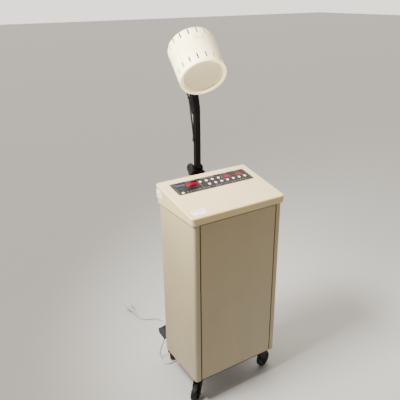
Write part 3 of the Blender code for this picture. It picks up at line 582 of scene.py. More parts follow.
def cord_curve(name, points):
    """The mains lead as one open curve with its ends filled."""
    curve = bpy.data.curves.new(name, "CURVE")
    curve.dimensions = "3D"
    curve.bevel_depth = CORD_R
    curve.bevel_resolution = 5
    curve.use_fill_caps = True
    spline = curve.splines.new("POLY")
    spline.points.add(len(points) - 1)
    for point, where in zip(spline.points, points):
        point.co = (*where, 1)
    spline.use_smooth = True
    curve.materials.append(SHEATH)
    made = linked(bpy.data.objects.new(name, curve))
    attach(made, ROOT)
    return made


# ---- cords

COIL_Z = CORD_Z + 0.001  # the tie passes under the coil
LAY = 0.0071  # from one turn to the next
RINGS = (0.0471, 0.04, 0.0329)
# The coil from entry to exit: angle reached in degrees, ring, layer. Rows with the same
# ring and layer as the row above run round; a changed one shifts across on the way.
WINDING = ((0, 0, 0), (300, 0, 0), (360, 1, 0), (660, 1, 0), (720, 2, 0), (960, 2, 0),
           (1020, 2, 1), (1260, 2, 1), (1320, 1, 1), (1620, 1, 1), (1680, 0, 1), (1920, 0, 1),
           (1980, 0, 2), (2160, 0, 2))


def coil_points():
    points = []
    for (start, ring_a, layer_a), (end, ring_b, layer_b) in zip(WINDING, WINDING[1:]):
        steps = (end - start) // 10
        for k in range(steps):
            t = k / steps
            ease = t * t * (3 - 2 * t)
            r = RINGS[ring_a] + (RINGS[ring_b] - RINGS[ring_a]) * ease
            z = COIL_Z + LAY * (layer_a + (layer_b - layer_a) * ease)
            angle = radians(start + (end - start) * t)
            points.append(Vector((COIL[0] - r * cos(angle), COIL[1] + r * sin(angle), z)))
    points.append(Vector((COIL[0] - RINGS[0], COIL[1], COIL_Z + LAY * 2)))
    return points


def mains_lead():
    x, y = COIL
    left = x - RINGS[0]
    top = COIL_Z + 2 * LAY
    near = [(*CORD_EXIT[:2], CORD_EXIT[2] - 0.0012), (-0.1732, REAR_Y + 0.0653, 0.112),
            (-0.1798, REAR_Y + 0.0745, 0.078)]
    near += [(-0.194 + 0.004 * dy / 0.03, REAR_Y + 0.0525 + dy, CORD_Z + 0.03 + dz)
             for dy, dz in arc((0, 0), 0.03, 0, -90, 4)]
    near += [(-0.164 + dx, REAR_Y + 0.052 + dy, CORD_Z)
             for dx, dy in arc((0, 0), 0.0305, 180, 270, 4)][1:]
    near += [(-0.139, CAB_Y + 0.153, CORD_Z), (-0.095, CAB_Y + 0.138, CORD_Z),
             (-0.055, CAB_Y + 0.155, CORD_Z), (-0.036, CAB_Y + 0.2, CORD_Z),
             (left - 0.0012, y - 0.055, CORD_Z + 0.0003), (left, y - 0.025, COIL_Z),
             (left, y, COIL_Z)]
    far = [(px, y + dy, z) for px, dy, z in (
        (left, 0, top), (left, 0.025, top), (left - 0.003, 0.052, 0.0105),
        (left - 0.009, 0.08, CORD_Z), (-0.043, 0.112, CORD_Z), (-0.052, 0.16, CORD_Z),
        (-0.078, 0.192, CORD_Z), (-0.108, 0.205, CORD_Z), (-0.136, 0.232, CORD_Z),
        (-0.1445, 0.252, 0.0062), (-0.148, 0.268, 0.013), (-0.1495, 0.284, 0.0178),
        (-0.15, 0.296, 0.0182))]
    points = route(near, 0.008)[:-1] + coil_points()[:-1] + route(far, 0.008)
    for point in points:
        point.z = max(point.z, CORD_Z)
    lead = cord_curve("mains_lead", points)
    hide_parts("cord_near", "cord_coil", "cord_far")

    near_relief = piece("connector_relief", sweep(points[:2], [0.0058, 0.0044], 20), ROOT,
                        BLACK_PLASTIC)
    grip = sweep(points[-5:], [0.0042, 0.0048, 0.0056, 0.0063, 0.007], 20)
    far_relief = piece("plug_relief", grip, ROOT, SHEATH)

    outline = mm((0, 0), (7.2, 0), (8.5, -8), (10, -17), (14, -23.5), (16.8, -29), (18, -36),
                 (18.2, -44), (18.2, -55), (17.4, -58.5), (15.8, -60), (0, -60))
    body = turned(outline, 48, lambda a, r, z: r * (1 - 0.035 * (0.5 + 0.5 * cos(12 * a)))
                  if -0.05 < z < -0.026 else r)
    aim = shift(-0.15, y + 0.2969, 0.0182) @ spin(90, "X")
    plug = piece("plug_body", body, ROOT, SHEATH, aim, "mains_plug")
    prong = mm((0, -60.5), (2.4, -60.5), (2.4, -79.5), (1.7, -80.8), (0, -81))
    prongs = joined(*[turned(prong, 20) for _ in range(2)])
    half = len(prongs.verts) // 2
    for k, vertex in enumerate(prongs.verts):
        vertex.co.x += 0.0095 if k < half else -0.0095
    pins = piece("plug_prongs", prongs, ROOT, BRASS, aim)

    tie = boolean(slab((0.0232, 0.0232), 0.0042, 5, -0.006, 0.006),
                  slab((0.0216, 0.0216), 0.0034, 5, -0.01, 0.01))
    aim = shift(x, y, COIL_Z + LAY) @ spin(52, "Z") @ shift(RINGS[1], 0, 0) @ spin(90, "X")
    strap = piece("coil_tie", soften(tie, 0.0003, 2), ROOT, BLACK_PLASTIC, aim)


# ---- cabinet

FACING = spin(90, "X")  # lays XY outlines into the XZ plane


def side_panels():
    outline = [(0.182, REAR_Y - 0.011), (0.186, REAR_Y - 0.011), (0.186, REAR_Y), (HALF_W, REAR_Y),
               (HALF_W, FRONT_Y), (0.1755, FRONT_Y), (0.1755, FRONT_Y + 0.014),
               (0.1645, FRONT_Y + 0.014)]
    radii = [0, 0.0025, 0.0025, 0.011, 0.011, 0.0025, 0.0025, 0]
    for name, s in (("left", -1), ("right", 1)):
        path = rounded([(s * x, y) for x, y in outline], radii, 7, closed=False)
        shape = band(path[::s], 0.002, CAB_LOW, CAB_HIGH)
        piece("side_sheet_" + name, soften(shape, 0.0005, 2, 50), ROOT, SHADED_CREAM,
              stands_for="side_panel_" + name)


def folded(width, height, facing):
    """A panel of 2 mm sheet, its face at Y = 0 and its edges folded back."""
    depth = 0.009
    outer = block((width, depth, height), (0, -facing * depth / 2, 0))
    soften(outer, 0.0025, 4, 35, lambda e: any(v.co.y * facing > -0.001 for v in e.verts))
    inner = block((width - 0.004, depth, height - 0.004), (0, -facing * (depth / 2 + 0.002), 0))
    return boolean(outer, inner)


def label(name, ink_name, size, corner, low, high, place, bars, lift=0, tilt=0):
    """A label with plain bars on it, each of them (width, height, x, y)."""
    piece(name, slab(size, *corner, low, high), ROOT, LABEL, place)
    ink = joined(*[block((w, h, 0.0001), (x, y, high + lift)) for w, h, x, y in bars])
    piece(ink_name, ink, ROOT, LABEL_INK, place @ spin(tilt, "Z"))


def panels():
    low, high = CAB_LOW + 0.002, CAB_HIGH - 0.002
    middle = (low + high) / 2
    piece("front_cover", folded(0.343, high - low, -1), ROOT, SHADED_CREAM, shift(0, FRONT_Y, middle),
          "front_panel")
    # Dark strips behind the cover's side and top gaps: painted shade, so that the gaps read dark.
    gap_shades = joined(*[block((0.0045, 0.004, high - low), (s * 0.1731, FRONT_Y + 0.006, middle))
                     for s in (-1, 1)],
                   block((0.35, 0.004, 0.004), (0, FRONT_Y + 0.006, high + 0.0022)))
    piece("cover_gap_shade", soften(gap_shades, 0.0006, 2, 40), ROOT, GAP_SHADE)
    cutters = [prism(pill(0.07, 0.004, column, 0.3 + 0.012 * row), -0.01, 0.01)
               for column in (-FAN[0], FAN[0]) for row in range(7)]
    for row in range(-3, 4):
        drop = 0.0105 * row
        cutters.append(prism(pill(2 * sqrt(0.034 ** 2 - drop ** 2), 0.005, FAN[0], FAN[1] + drop),
                             -0.01, 0.01))
    cutters.append(prism(rectangle(0.0276, 0.0206, CONNECTOR_X, INLET_Z), -0.01, 0.01))
    cutters.append(prism(rectangle(0.015, 0.022, SWITCH_X, INLET_Z), -0.01, 0.01))
    holes = moved(joined(*cutters), shift(0, 0, -middle) @ FACING)
    piece("rear_cover", boolean(folded(0.369, high - low, 1), holes), ROOT, SHADED_CREAM,
          shift(0, REAR_Y, middle), "rear_panel")
    out = (0, 1, 0)
    screws("rear_screws", 0.0038, 0.0018, out,
           [(x, REAR_Y, z) for x in (-0.176, 0.176) for z in (0.142, 0.36, 0.58, 0.804)])
    screws("fan_screws", 0.003, 0.0016, out,
           [(x, REAR_Y, z) for x, z in four(*FAN, 0.0355, 0.0355)])
    label("rating_plate", "rating_print", (0.074, 0.044), (0.002, 4), 0, 0.0005,
          shift(-0.02, REAR_Y, 0.225) @ spin(180, "Z") @ FACING,
          [(w, 0.0016, w / 2 - 0.032, 0.016 - 0.0055 * k)
           for k, w in enumerate((0.05, 0.064, 0.038, 0.058, 0.045, 0.03))])


def tray():
    def outline(inset, radius):
        wide, narrow = 0.184 - inset, 0.155 - inset
        front, step, rear = FRONT_Y + 0.016 + inset, REAR_Y - 0.006 - inset, REAR_Y + 0.114 - inset
        return rounded([(-wide, front), (wide, front), (wide, step), (narrow, step), (narrow, rear),
                        (-narrow, rear), (-narrow, step), (-wide, step)], radius, 5)
    pan = prism(outline(0, 0.004), 0.105, 0.1227)
    pan = boolean(pan, prism(outline(0.0025, 0.002), 0.108, 0.13))
    piece("tray_pan", soften(pan, 0.0006, 2, 50), ROOT, BLACK, stands_for="base_tray")
    low = 0.1021
    plates = [slab((0.052, 0.052, *place), 0.005, 4, low, 0.1051) for _, place, _ in CASTORS]
    piece("castor_plates", soften(joined(*plates), 0.0006, 2, 50), ROOT, STEEL)
    screws("castor_screws", 0.0036, 0.0018, (0, 0, -1),
           [(x, y, low) for _, place, _ in CASTORS for x, y in four(*place, 0.0205, 0.0205)])


def wedge(inset, low, upright_r, edge_r, steps):
    shape = block((1, 1, 1))
    for v in shape.verts:
        high = (CAP_FRONT_Z if v.co.y < 0 else CAP_REAR_Z) - inset
        width = CAP_W + (FLARE if v.co.z > 0 else 0)
        v.co = (v.co.x * (width - 2 * inset), CAB_Y + v.co.y * (CAP_D - 2 * inset),
                high if v.co.z > 0 else low)
    uprights = [e for e in shape.edges if abs(e.verts[0].co.z - e.verts[1].co.z) > 0.02
                and abs(e.verts[0].co.y - e.verts[1].co.y) < 0.01]
    bmesh.ops.bevel(shape, geom=uprights, offset=upright_r, segments=2 * steps, profile=0.5,
                    affect="EDGES")
    shape.normal_update()
    top = max(shape.faces, key=lambda f: f.calc_area() * max(f.normal.z, 0))
    bmesh.ops.bevel(shape, geom=top.edges[:], offset=edge_r, segments=steps, profile=0.5,
                    affect="EDGES")
    return shape


def cap():
    low = 0.8265
    shell = wedge(0, low, 0.012, 0.0055, 7)
    soften(shell, 0.0012, 2, 60, lambda e: all(abs(v.co.z - low) < 0.0001 for v in e.verts))
    shell = boolean(shell, wedge(0.003, 0.8, 0.009, 0.003, 4))
    window = slab((0.3486, 0.0866, *PANEL), 0.0083, 6, -0.02, 0.02)
    shell = boolean(shell, moved(window, CONSOLE))
    piece("cap_shell", shell, ROOT, CAP_CREAM, stands_for="console_cap", sharp=32)
    corner, rise = (0.0015, 3), 0.00005
    label("front_label", "front_label_print", (0.056, 0.032, -0.1625, 0.033), corner, -0.0002,
          0.0004, CONSOLE, [(0.045, 0.0036, -0.165, 0.0395), (0.03, 0.0012, -0.156, 0.028)], rise)
    leftward = Matrix(((0, 0, -1, 0), (-1, 0, 0, 0), (0, 1, 0, 0), (0, 0, 0, 1)))
    label("side_label", "side_label_print", (0.038, 0.032), corner, -0.0002, 0.0004,
          shift(-0.2089, CAB_Y + 0.111, 0.869) @ spin(-3.8, "Y") @ leftward,
          [(0.022, 0.0034, 0, 0), (0.016, 0.0012, -0.003, -0.007)], rise, -12)


# ---- key panel

def key_centres():
    for name, (x, y), count in KEY_ROWS:
        for i in range(count):
            yield (name if count == 1 else f"{name}_{i + 1}"), x + 0.0285 * i, y


def digit(x, y, tall, into):
    """Seven bars of a display digit."""
    wide, bar = tall * 0.52, tall * 0.11
    for dy in (-tall / 2, 0, tall / 2):
        prism(pill(wide - bar, bar, x, y + dy, 3), 0.0001, 0.0004, into)
    for dx in (-wide / 2, wide / 2):
        for dy in (-tall / 4, tall / 4):
            prism(pill(bar, tall / 2 - bar, x + dx, y + dy, 3), 0.0001, 0.0004, into)


def key_panel():
    plate = slab((0.348, 0.086, *PANEL), 0.008, 7, -0.0034, 0.0006)
    cutters = [rod(0.0058, 0.02, (x, y, 0)) for _, x, y in key_centres()]
    cutters += [slab((w + 0.0006, h + 0.0006, x, y), 0.001, 3, -0.01, 0.01)
                for _, (x, y), (w, h), _ in WINDOWS]
    piece("panel_plate", boolean(plate, joined(*cutters)), ROOT, PRINT, CONSOLE, "keypad_bezel")
    ring = slab((0.3465, 0.0845, *PANEL), 0.0075, 7, 0.0003, 0.0008)
    inner = slab((0.328, 0.0765, PANEL[0] + 0.002, PANEL[1] + 0.0005), 0.005, 7, -0.01, 0.01)
    piece("panel_border", boolean(ring, inner), ROOT, BORDER, CONSOLE)
    for name, (x, y), (w, h), material in WINDOWS:
        glass = soften(slab((w, h, x, y), 0.0008, 3, -0.0026, 0.0002), 0.0003, 2)
        piece(name + "_glass", glass, ROOT, material, CONSOLE, name)
        if material is RED:
            digits = bmesh.new()
            count = 4 if w > 0.05 else 2
            for i in range(count):
                digit(x + (i - (count - 1) / 2) * 0.0125, y, 0.015, digits)
            piece(name + "_digits", digits, ROOT, LIT, CONSOLE)
    dome = mm((0, 1.1), (3, 1.2), (4, 1.6), (4.8, 1.5), (5.3, 1), (5.4, 0.4), (5.4, -4.6),
              (0, -4.6))
    for name, x, y in key_centres():
        piece(name + "_cap", moved(turned(dome, 36), shift(x, y, 0)), name, KEY, CONSOLE, name)
    print_marks()


def print_marks():
    """Plain bars and rules where a panel of this kind carries its wording."""
    ink, high = bmesh.new(), 0.00075

    def bar(width, height, x, y):
        block((width, height, 0.0003), (x, y, high - 0.00015), ink)
    for name, x, y in key_centres():
        if name == "key_power":
            continue
        bar(0.0125, 0.0013, x, y + 0.0094)
        if name.startswith("key_mode"):
            bar(0.0085, 0.0011, x, y - 0.0096)
        if name.startswith("key_preset"):
            bar(0.006, 0.001, x + 0.014, y - 0.002)
    for i in range(9):
        bar(0.0075, 0.0015, -0.126 + 0.0118 * i, 0.1718)
        bar(0.005, 0.0012, -0.126 + 0.0118 * i, 0.1664)
    for i in range(13):
        bar(0.0074, 0.0014, -0.01 + 0.0128 * i, 0.1712 + 0.0002 * (i % 2))
        if i % 3:
            bar(0.0048, 0.0011, -0.01 + 0.0128 * i, 0.1664)
    for x, y, w in ((-0.082, 0.2368, 0.04), (0.083, 0.2362, 0.022), (0.14, 0.2362, 0.022),
                    (0, 0.2362, 0.06)):
        bar(w, 0.0013, x, y)
    for x in (-0.0515, 0.06):
        bar(0.0008, 0.058, x - 0.0005, 0.204)
    piece("panel_marks", ink, ROOT, INK, CONSOLE)
    stripe = joined(slab((0.04, 0.0095, -0.133, 0.2215), 0.001, 3, 0.0003, high),
                    slab((0.012, 0.005, -0.15, 0.233), 0.001, 3, 0.0003, high))
    piece("panel_stripe", stripe, ROOT, BLUE_INK, CONSOLE)


# ---- inside and rear

def inside():
    """The unseen parts keep their CAD shape and are given their materials."""
    for node, material in (
            ("rf_generator_case", STEEL), ("power_transformer", IRON), ("control_board", BOARD),
            ("fan_frame", BLACK_PLASTIC), ("fan_rotor", BLACK_PLASTIC),
            ("mains_inlet", BLACK_PLASTIC), ("coil_former", FORMER), ("applicator_coil", COPPER)):
        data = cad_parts[node].data
        data.materials.clear()
        data.materials.append(material)


def rear_fittings():
    rocker = prism(arc((0, 0), 0.0098, 65, 285, 22) + [(0.001, -0.001)], -0.007, 0.007)
    piece("switch_rocker", soften(rocker, 0.0007, 2, 30), "switch", BLACK_PLASTIC,
          shift(SWITCH_X, REAR_Y, INLET_Z) @ UPRIGHT, "power_switch")
    ring = boolean(slab((0.0195, 0.027), 0.0015, 4, 0, 0.0016),
                   prism(rectangle(0.0146, 0.0216), -0.01, 0.01))
    piece("switch_frame", soften(ring, 0.0004, 2, 50), ROOT, BLACK_PLASTIC,
          shift(SWITCH_X, REAR_Y + 0.0018, INLET_Z) @ FACING)
    half = 0.0129
    outline = mm((2.6, 174), (2.6, 207), (43, 207), (75, 177), (108, 149), (101, 127), (64, 125),
                 (50, 125), (30, 140))
    radii = [0.002, 0.002, 0.008, 0.02, 0.004, 0.005, 0.004, 0.004, 0.008]
    hood = soften(prism(rounded(outline, radii, 5), -half, half), 0.0026, 4, 50)
    grooves = [block((0.0016, 0.016, 0.0014), (0.026 + 0.006 * k, INLET_Z, s * half))
               for k in range(4) for s in (-1, 1)]
    piece("connector_hood", boolean(hood, joined(*grooves)), ROOT, BLACK_PLASTIC,
          shift(CONNECTOR_X, REAR_Y, 0) @ UPRIGHT, "mains_connector")


# ---- castors

def mirrored(half):
    """A turned half outline with its mirror image below it."""
    return half + [(r, -z) for r, z in reversed(half)]


def castors():
    for name, (x, y), heading in CASTORS:
        body, at = "fork_" + name, shift(x, y, 0) @ spin(heading + 90, "Z")
        cheeks = [(0.017, 0.088), (-0.017, 0.088)] + arc((-TRAIL, WHEEL_R), 0.01, 160, 350, 16)
        fork = soften(prism(cheeks, -0.017, 0.017), 0.0022, 3, 40)
        fork = boolean(fork, block((0.13, 0.12, 0.025), (-0.02, 0.015, 0)))
        piece("fork_body_" + name, fork, body, BLACK, at @ UPRIGHT, "castor_fork_" + name)
        housing = mm((0, 84.5), (16, 84.5), (17.8, 86.2), (18, 90.5), (16.8, 92.5), (15, 93),
                     (15, 94.8), (17.2, 95.3), (18, 96.2), (18, 100.5), (17, 101.7), (0, 101.7))
        piece("swivel_race_" + name, turned(housing, 40), body, BLACKED, at)
        bolt = [rod(r, length, (along, -TRAIL, WHEEL_R), "X", sides) for side in (-1, 1) for r,
                length, along, sides in ((0.0062, 0.0018, side * 0.0178, 28),
                                         (0.0052, 0.0026, side * 0.019, 6))]
        bolt.append(rod(0.004, 0.036, (0, -TRAIL, WHEEL_R), "X", 24))
        piece("axle_bolt_" + name, soften(joined(*bolt), 0.0003, 2, 40), body, BLACKED, at)
        body, roll = "wheel_" + name, at @ shift(0, -TRAIL, WHEEL_R) @ spin(90, "Y")
        tyre = mirrored([(0.0274, 0.0095), (0.0292, 0.0106), (0.031, 0.0108), (0.0332, 0.0104),
                         (0.035, 0.009), (0.0361, 0.0066), (WHEEL_R, 0.0036)])
        tyre.insert(7, (WHEEL_R, 0))
        piece("tyre_" + name, turned(tyre, 64), body, RUBBER, roll, "castor_wheel_" + name)
        hub = turned(mirrored(mm((4.4, 10.8), (9.8, 10.8), (10.6, 10), (11.6, 6.2), (12.8, 5),
                                 (22.2, 5), (23.2, 6.2), (24, 9.2), (25, 10), (27.5, 9.8))), 48)
        webs = [rod(0.0036, 0.03, (*hole, 0), sides=20) for hole in arc((0, 0), 0.0175, 0, 300, 5)]
        piece("hub_" + name, boolean(hub, joined(*webs)), body, HUB, roll)


# ---- arm

def post():
    outer = boolean(slab((0.036, 0.03), 0.003, 5, 0.1083, 0.887),
                    slab((0.032, 0.026), 0.0015, 4, 0.1, 0.88))
    top = soften(slab((0.064, 0.05), 0.006, 6, 0.885, 0.89), 0.0008, 2, 50)
    near, far = REAR_Y + 0.0003, ARM_Y - 0.0145
    heights = (0.2, 0.78)
    stays = [soften(block((0.03, far - near, 0.024), (0, (near + far) / 2 - ARM_Y, z)), 0.0015, 3)
             for z in heights]
    at = shift(ARM_X, ARM_Y, 0)
    piece("post_tube", joined(outer, top, *stays), ROOT, BLACK, at, "arm_post")
    screws("plate_screws", 0.0034, 0.0017, (0, 0, -1),
           [(x, y, 0.885) for x, y in four(ARM_X, ARM_Y, 0.026, 0.019)])
    screws("stay_screws", 0.0036, 0.0018, (0, 1, 0),
           [(ARM_X + x, ARM_Y + 0.015, z) for z in heights for x in (-0.009, 0.009)])
    foot = boolean(slab((0.062, 0.052), 0.005, 5, 0.1081, 0.112),
                   slab((0.0364, 0.0304), 0.003, 5, 0.1, 0.12))
    piece("post_foot", soften(foot, 0.0006, 2, 50), ROOT, BLACK, at)
    screws("foot_screws", 0.0034, 0.0017, (0, 0, 1),
           [(x, y, 0.112) for x, y in four(ARM_X, ARM_Y, 0.0245, 0.0195)])


def shoulder():
    base, wide, long = 0.8903, ARM_W + 0.0166, 0.0175
    outline = [(-0.0125, base), (0.0125, base)] + arc((0, SHOULDER_Z), 0.0125, 0, 180, 24)
    clevis = soften(prism(outline, -wide / 2, wide / 2), 0.0014, 3, 50)
    foot = soften(block((0.02, 0.0092, 0.0305), (0, base + 0.0046, 0.0155)), 0.0012, 3)
    clevis = boolean(clevis, foot, "UNION")
    clevis = boolean(clevis, block((0.04, 0.05, ARM_W + 0.0006), (0, SHOULDER_Z + 0.0151, 0)))
    piece("clevis_body", clevis, "arm_base", BLACK, shift(ARM_X, ARM_Y, 0) @ UPRIGHT,
          "arm_clevis", sharp=32)
    left, right = ARM_X - wide / 2, ARM_X + wide / 2
    bolt = joined(*[rod(r, length, (x, ARM_Y, SHOULDER_Z), "X", sides) for r, length, x, sides in (
        (0.004, wide + 0.004, ARM_X - 0.002, 32), (0.0078, 0.0012, right + 0.0006, 32),
        (0.0066, 0.0026, right + 0.0019, 6))])
    piece("shoulder_bolt", soften(bolt, 0.0004, 2, 40), "arm_base", BLACKED,
          stands_for="shoulder_pin")

    def flutes(angle, r, z):
        return r - 0.002 * max(0, -cos(16 * angle)) ** 1.5 if r > 0.0205 else r
    outline = mm((4.3, 0), (10.5, 0), (10.5, -3.4), (20, -3.6), (22.8, -4.6), (23.8, -6.4),
                 (24, -9))
    outline += [(r, z - long) for r, z in mm((24, 3.5), (23.2, 1.4), (21.6, 0.2), (15, 0),
                                             (13.8, 1.2), (7, 1.4), (4.3, 1.4))]
    aim = shift(left - 0.0003, ARM_Y, SHOULDER_Z) @ spin(90, "Y")
    piece("knob_grip", turned(outline, 192, flutes), "knob", KNOB, aim, "shoulder_knob")
    outline = [(r, z - long) for r, z in mm((0, 0.4), (5, 0.4), (6, 0.9), (6.4, 2.2), (0, 2.2))]
    piece("knob_cap", turned(outline, 32), "knob", BLACKED, aim)


def pin(name, body, low, high, centre, stands_for=None):
    """A pin with domed caps, from low to high along X."""
    shape = rod(0.004, high - low, ((low + high) / 2, *centre), "X", 28)
    for end, side in ((low, -1), (high, 1)):
        dome = turned(mm((0, 2.2), (4, 2), (6.8, 1.2), (7.6, 0), (0, 0)), 32)
        shape = joined(shape, moved(dome, shift(end, *centre) @ spin(side * 90, "Y")))
    piece(name, shape, body, BLACKED, stands_for=stands_for)


def arms():
    bore = 0.0043
    at = shift(ARM_X, ARM_Y, 0) @ UPRIGHT
    bar = prism(stadium((0, SHOULDER_Z), (0, ELBOW_Z), 0.0095), -ARM_W / 2, ARM_W / 2)
    holes = joined(*[rod(bore, 0.05, (0, z, 0), sides=28) for z in (SHOULDER_Z, ELBOW_Z)])
    piece("lower_bar", boolean(soften(bar, 0.0018, 4, 50), holes), "lower_arm", BLACK, at,
          "lower_arm", sharp=32)

    left, right, ear = ARM_X + ARM_W / 2 - 0.03, ARM_X + ARM_W / 2, ARM_X - ARM_W / 2 - 0.0003
    elbow, top = (0, ELBOW_Z), (PIVOT.y - ARM_Y, PIVOT.z)
    bar = soften(prism(stadium(elbow, top, 0.0115), left, right), 0.0018, 4, 50)
    middle, wide = (ear + right + 0.01) / 2, right + 0.01 - ear
    seat = boolean(rod(0.0101, wide, (*elbow, middle), sides=48),
                   block((0.05, 0.06, wide), (0, ELBOW_Z - 0.022, middle)), "UNION")
    slot = block((0.06, 0.05, 0.0154), (top[0], top[1] + 0.011, PIVOT.x))
    holes = joined(*[rod(bore, 0.1, (*place, 0), sides=28) for place in (elbow, top)])
    piece("upper_bar", boolean(boolean(boolean(bar, seat), slot), holes), "upper_arm", BLACK,
          shift(0, ARM_Y, 0) @ UPRIGHT, "upper_arm", sharp=32)
    pin("elbow_bolt", "upper_arm", left, right, (ARM_Y, ELBOW_Z), "elbow_pin")

    barrel = soften(rod(0.0105, 0.0148, (0, 0, 0), "X", 48), 0.0008, 3)
    stalk = moved(rod(0.0055, 0.0145, (0, -0.00725, 0), "Y"), shift(*-PIVOT) @ HEAD)
    piece("knuckle_barrel", boolean(barrel, stalk, "UNION"), "knuckle", BLACK, shift(*PIVOT),
          "head_knuckle", sharp=32)
    pin("knuckle_bolt", "knuckle", left, right, (PIVOT.y, PIVOT.z))


# ---- head

ENVELOPE = [(0, 0.02), (DRUM_REAR_R + 0.0003, 0.02), (DRUM_REAR_R + 0.0003, 0),
            (DRUM_FRONT_R + 0.0003, -DRUM_L), (0, -DRUM_L)]


def saddle():
    outline = mm((0, -14.8), (6, -14.8), (7, -15.6), (7, -23.6), (8.5, -24.6), (19.2, -24.8),
                 (20.6, -25.6), (21, -27.2), (21, -38), (0, -38))
    shape = moved(turned(outline, 64), spin(-90, "X"))
    drum = moved(turned(ENVELOPE, 128), HEAD.inverted() @ DRUM)
    piece("saddle_flange", boolean(shape, drum), "head", BLACK, HEAD, "head_saddle", sharp=32)


def vents(share, low=-0.012, high=0.012):
    """One ring of narrow slots along the drum, as cutters or as the dark strips of painted shade
    behind them.
    """
    slots = []
    for i in range(18):
        turn = spin(-92 - 20 * i, "Z")
        slots.append(moved(prism(pill(0.0056, 0.027, steps=5), low, high), turn
                           @ shift(drum_r(share), 0, -DRUM_L * share) @ UPRIGHT))
    return joined(*slots)


def drum():
    mid = drum_r(DRUM_SEAM)
    split = -DRUM_L * DRUM_SEAM
    wall, crown, lip = 0.003, 0.012, 0.003
    centre = (DRUM_REAR_R - crown, -crown)
    rear = ([(0, 0)] + arc(centre, crown, 90, 0, 12)
            + [(mid, split + 0.0009), (mid - 0.0006, split + 0.0003), (mid - wall, split + 0.0003)]
            + arc(centre, crown - wall, 0, 90, 8) + [(0, -wall)])
    front = [(mid - wall, split - 0.0003), (mid - 0.0006, split - 0.0003), (mid, split - 0.0009)]
    front += arc((DRUM_FRONT_R - lip, -DRUM_L + lip), lip, 0, -90, 12)
    front += [(r, -DRUM_L + z) for r, z in (
        (0.0862, 0.0003), (0.0845, 0.001), (0.0775, 0.0046), (0.0766, 0.0055), (0.0762, 0.007),
        (0.076, 0.0118), (0.0733, 0.0125), (DRUM_FRONT_R - 0.0055, 0.014),
        (DRUM_FRONT_R - wall, 0.018))]
    shares = (0.122, 0.825)
    for name, outline, share in zip(("rear", "front"), (rear, front), shares):
        piece("drum_" + name, boolean(turned(outline, 144), vents(share)), "head", HEAD_CREAM, DRUM,
              f"drum_{name}_shell", sharp=32)
    # Painted shade: dark strips behind the vent slots and a dark sleeve inside the drum, so that
    # the slots and the seam read dark.
    strips = [vents(share, -0.0046, -0.0012) for share in shares]
    piece("drum_slot_shade", joined(*strips), "head", SHADE_DARK, DRUM)
    shade_sleeve = [(0.0873, -0.013), (0.0873, -0.155), (0.0866, -0.155), (0.0866, -0.013)]
    piece("drum_shade_sleeve", turned(shade_sleeve, 96), "head", SHADE_DARK, DRUM)
    step = -DRUM_L + 0.0095
    disc = [(0, step + 0.003), (0.073, step + 0.003), (0.073, step + 0.0004), (0.0726, step),
            (0, step)]
    # The disc carries painted shade: its cream is darkened for the recess.
    piece("face_board", turned(disc, 128), "head", SHADED_FACE, DRUM, "face_disc")
    latch = soften(block((0.037, 0.01, 0.022)), 0.0016, 4)
    latch = boolean(latch, soften(block((0.027, 0.003, 0.006), (0, -0.0055, -0.004)), 0.0008, 2))
    moved(latch, spin(-6, "Z") @ shift(0, -0.0905, -DRUM_L * 0.293))
    piece("catch_body", boolean(latch, turned(ENVELOPE, 128)), "head", HEAD_CREAM, DRUM,
          "head_catch", sharp=32)


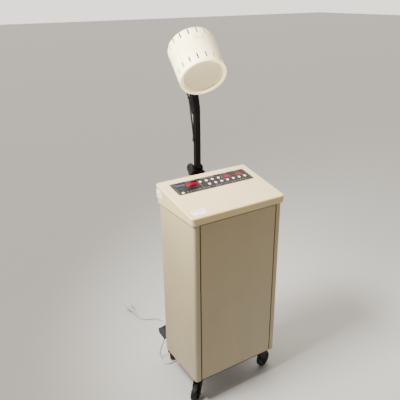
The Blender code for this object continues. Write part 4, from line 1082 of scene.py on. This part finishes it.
def arm_cables():
    wall = ARM_X - ARM_W / 2
    clip = Vector((-0.025, ARM_Y + 0.004, 1.206))
    first = route([(wall - 0.004, ARM_Y, 1.03), (wall - 0.005, ARM_Y, 1.06),
                   (wall - 0.0085, ARM_Y, 1.095), (wall - 0.0145, ARM_Y + 0.001, 1.15),
                   (wall - 0.0172, ARM_Y + 0.002, 1.18), clip], 0.006)
    gland = Vector((ARM_X + ARM_W / 2 - 0.0355, PIVOT.y + 0.006, PIVOT.z + 0.012))
    second = route([clip + Vector((-0.0003, 0.0003, 0.0011)), (-0.0285, ARM_Y + 0.01, 1.222),
                    (-0.0285, ARM_Y + 0.02, 1.236), (-0.0225, ARM_Y + 0.0245, 1.241), gland], 0.004)
    runs = [(piece("cable_" + end, sweep(points, [0.0033] * len(points), 20), None, CABLE,
                   stands_for="arm_cable_" + end), points, bodies)
            for end, points, bodies in (("lower", first, ("lower_arm", "upper_arm")),
                                        ("upper", second, ("upper_arm", "knuckle")))]
    boot = piece("cable_boot", sweep(first[:4], [0.005, 0.0048, 0.0044, 0.0038], 24), "lower_arm",
                 BLACK_PLASTIC)
    ring = boolean(rod(0.0056, 0.007), rod(0.0034, 0.02))
    ring = soften(moved(ring, shift(*clip) @ spin(-8, "Y")), 0.0006, 2, 50)
    strap = soften(block((0.012, 0.003, 0.007), (-0.0158, ARM_Y + 0.004, 1.206)), 0.0008, 2)
    clamp = piece("cable_clip", joined(ring, strap), "upper_arm", BLACK_PLASTIC)
    tail = second[-3:] + [gland + Vector((0.0035, -0.0008, -0.0012))]
    boot_2 = piece("cable_gland", sweep(tail, [0.0042, 0.0048, 0.0054, 0.0056], 24), "knuckle",
                   BLACK_PLASTIC)
    for (tube, points, bodies), extra in zip(runs, ([boot, clamp], [boot_2])):
        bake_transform(tube)


for build in (mains_lead, side_panels, panels, tray, cap, key_panel, inside, rear_fittings,
              castors, post, shoulder, arms, saddle, drum, arm_cables):
    build()


# ---- studio

def light(name, place, aim, size, power, colour, spread=180):
    data = bpy.data.lights.new(name, "AREA")
    data.spread = radians(spread)
    data.shape = "DISK"
    data.size = size
    data.energy = power
    data.color = colour
    lamp = linked(bpy.data.objects.new(name, data))
    lamp.location = place
    lamp.rotation_euler = (Vector(place) - Vector(aim)).to_track_quat("Z", "Y").to_euler()


def studio():
    shape = bmesh.new()
    bmesh.ops.create_grid(shape, x_segments=1, y_segments=1, size=30)
    floor = linked(bpy.data.objects.new("floor", baked(shape, "floor")))
    s = Shader("floor_pale", 0.75)
    s.colour((0.7, 0.69, 0.67, 1))
    floor.data.materials.append(s.material)
    world = bpy.data.worlds.new("studio")
    bpy.context.scene.world = world
    world.use_nodes = True
    sky = Tree(world.node_tree)
    way = sky.node("TexCoord").outputs["Generated"]
    way = sky.node("SeparateXYZ", Vector=way).outputs
    glow = sky.span(way["Y"], -0.3, 0.5, 0.11, 2.1, "LINEAR")
    horizon = sky.span(way["Z"], 0.05, 0.16, 0.7, 0, "LINEAR")
    back = world.node_tree.nodes["Background"].inputs
    back["Color"].default_value = (0.93, 0.88, 0.8, 1)
    sky.feed(back["Strength"], sky.math("MAXIMUM", glow, horizon))
    light("key", (-0.98, -0.06, 2.02), (0, -0.06, 1.15), 0.6, 24, (1, 0.98, 0.92), 80)
    light("fill", (1.2, -3, 1.6), (0, 0, 0.7), 2.4, 5, (1, 0.78, 0.55))
    light("face", (-0.45, -2, 0.35), (-0.04, -0.17, 1.27), 0.4, 1.1, (1, 0.9, 0.72), 13)


studio()
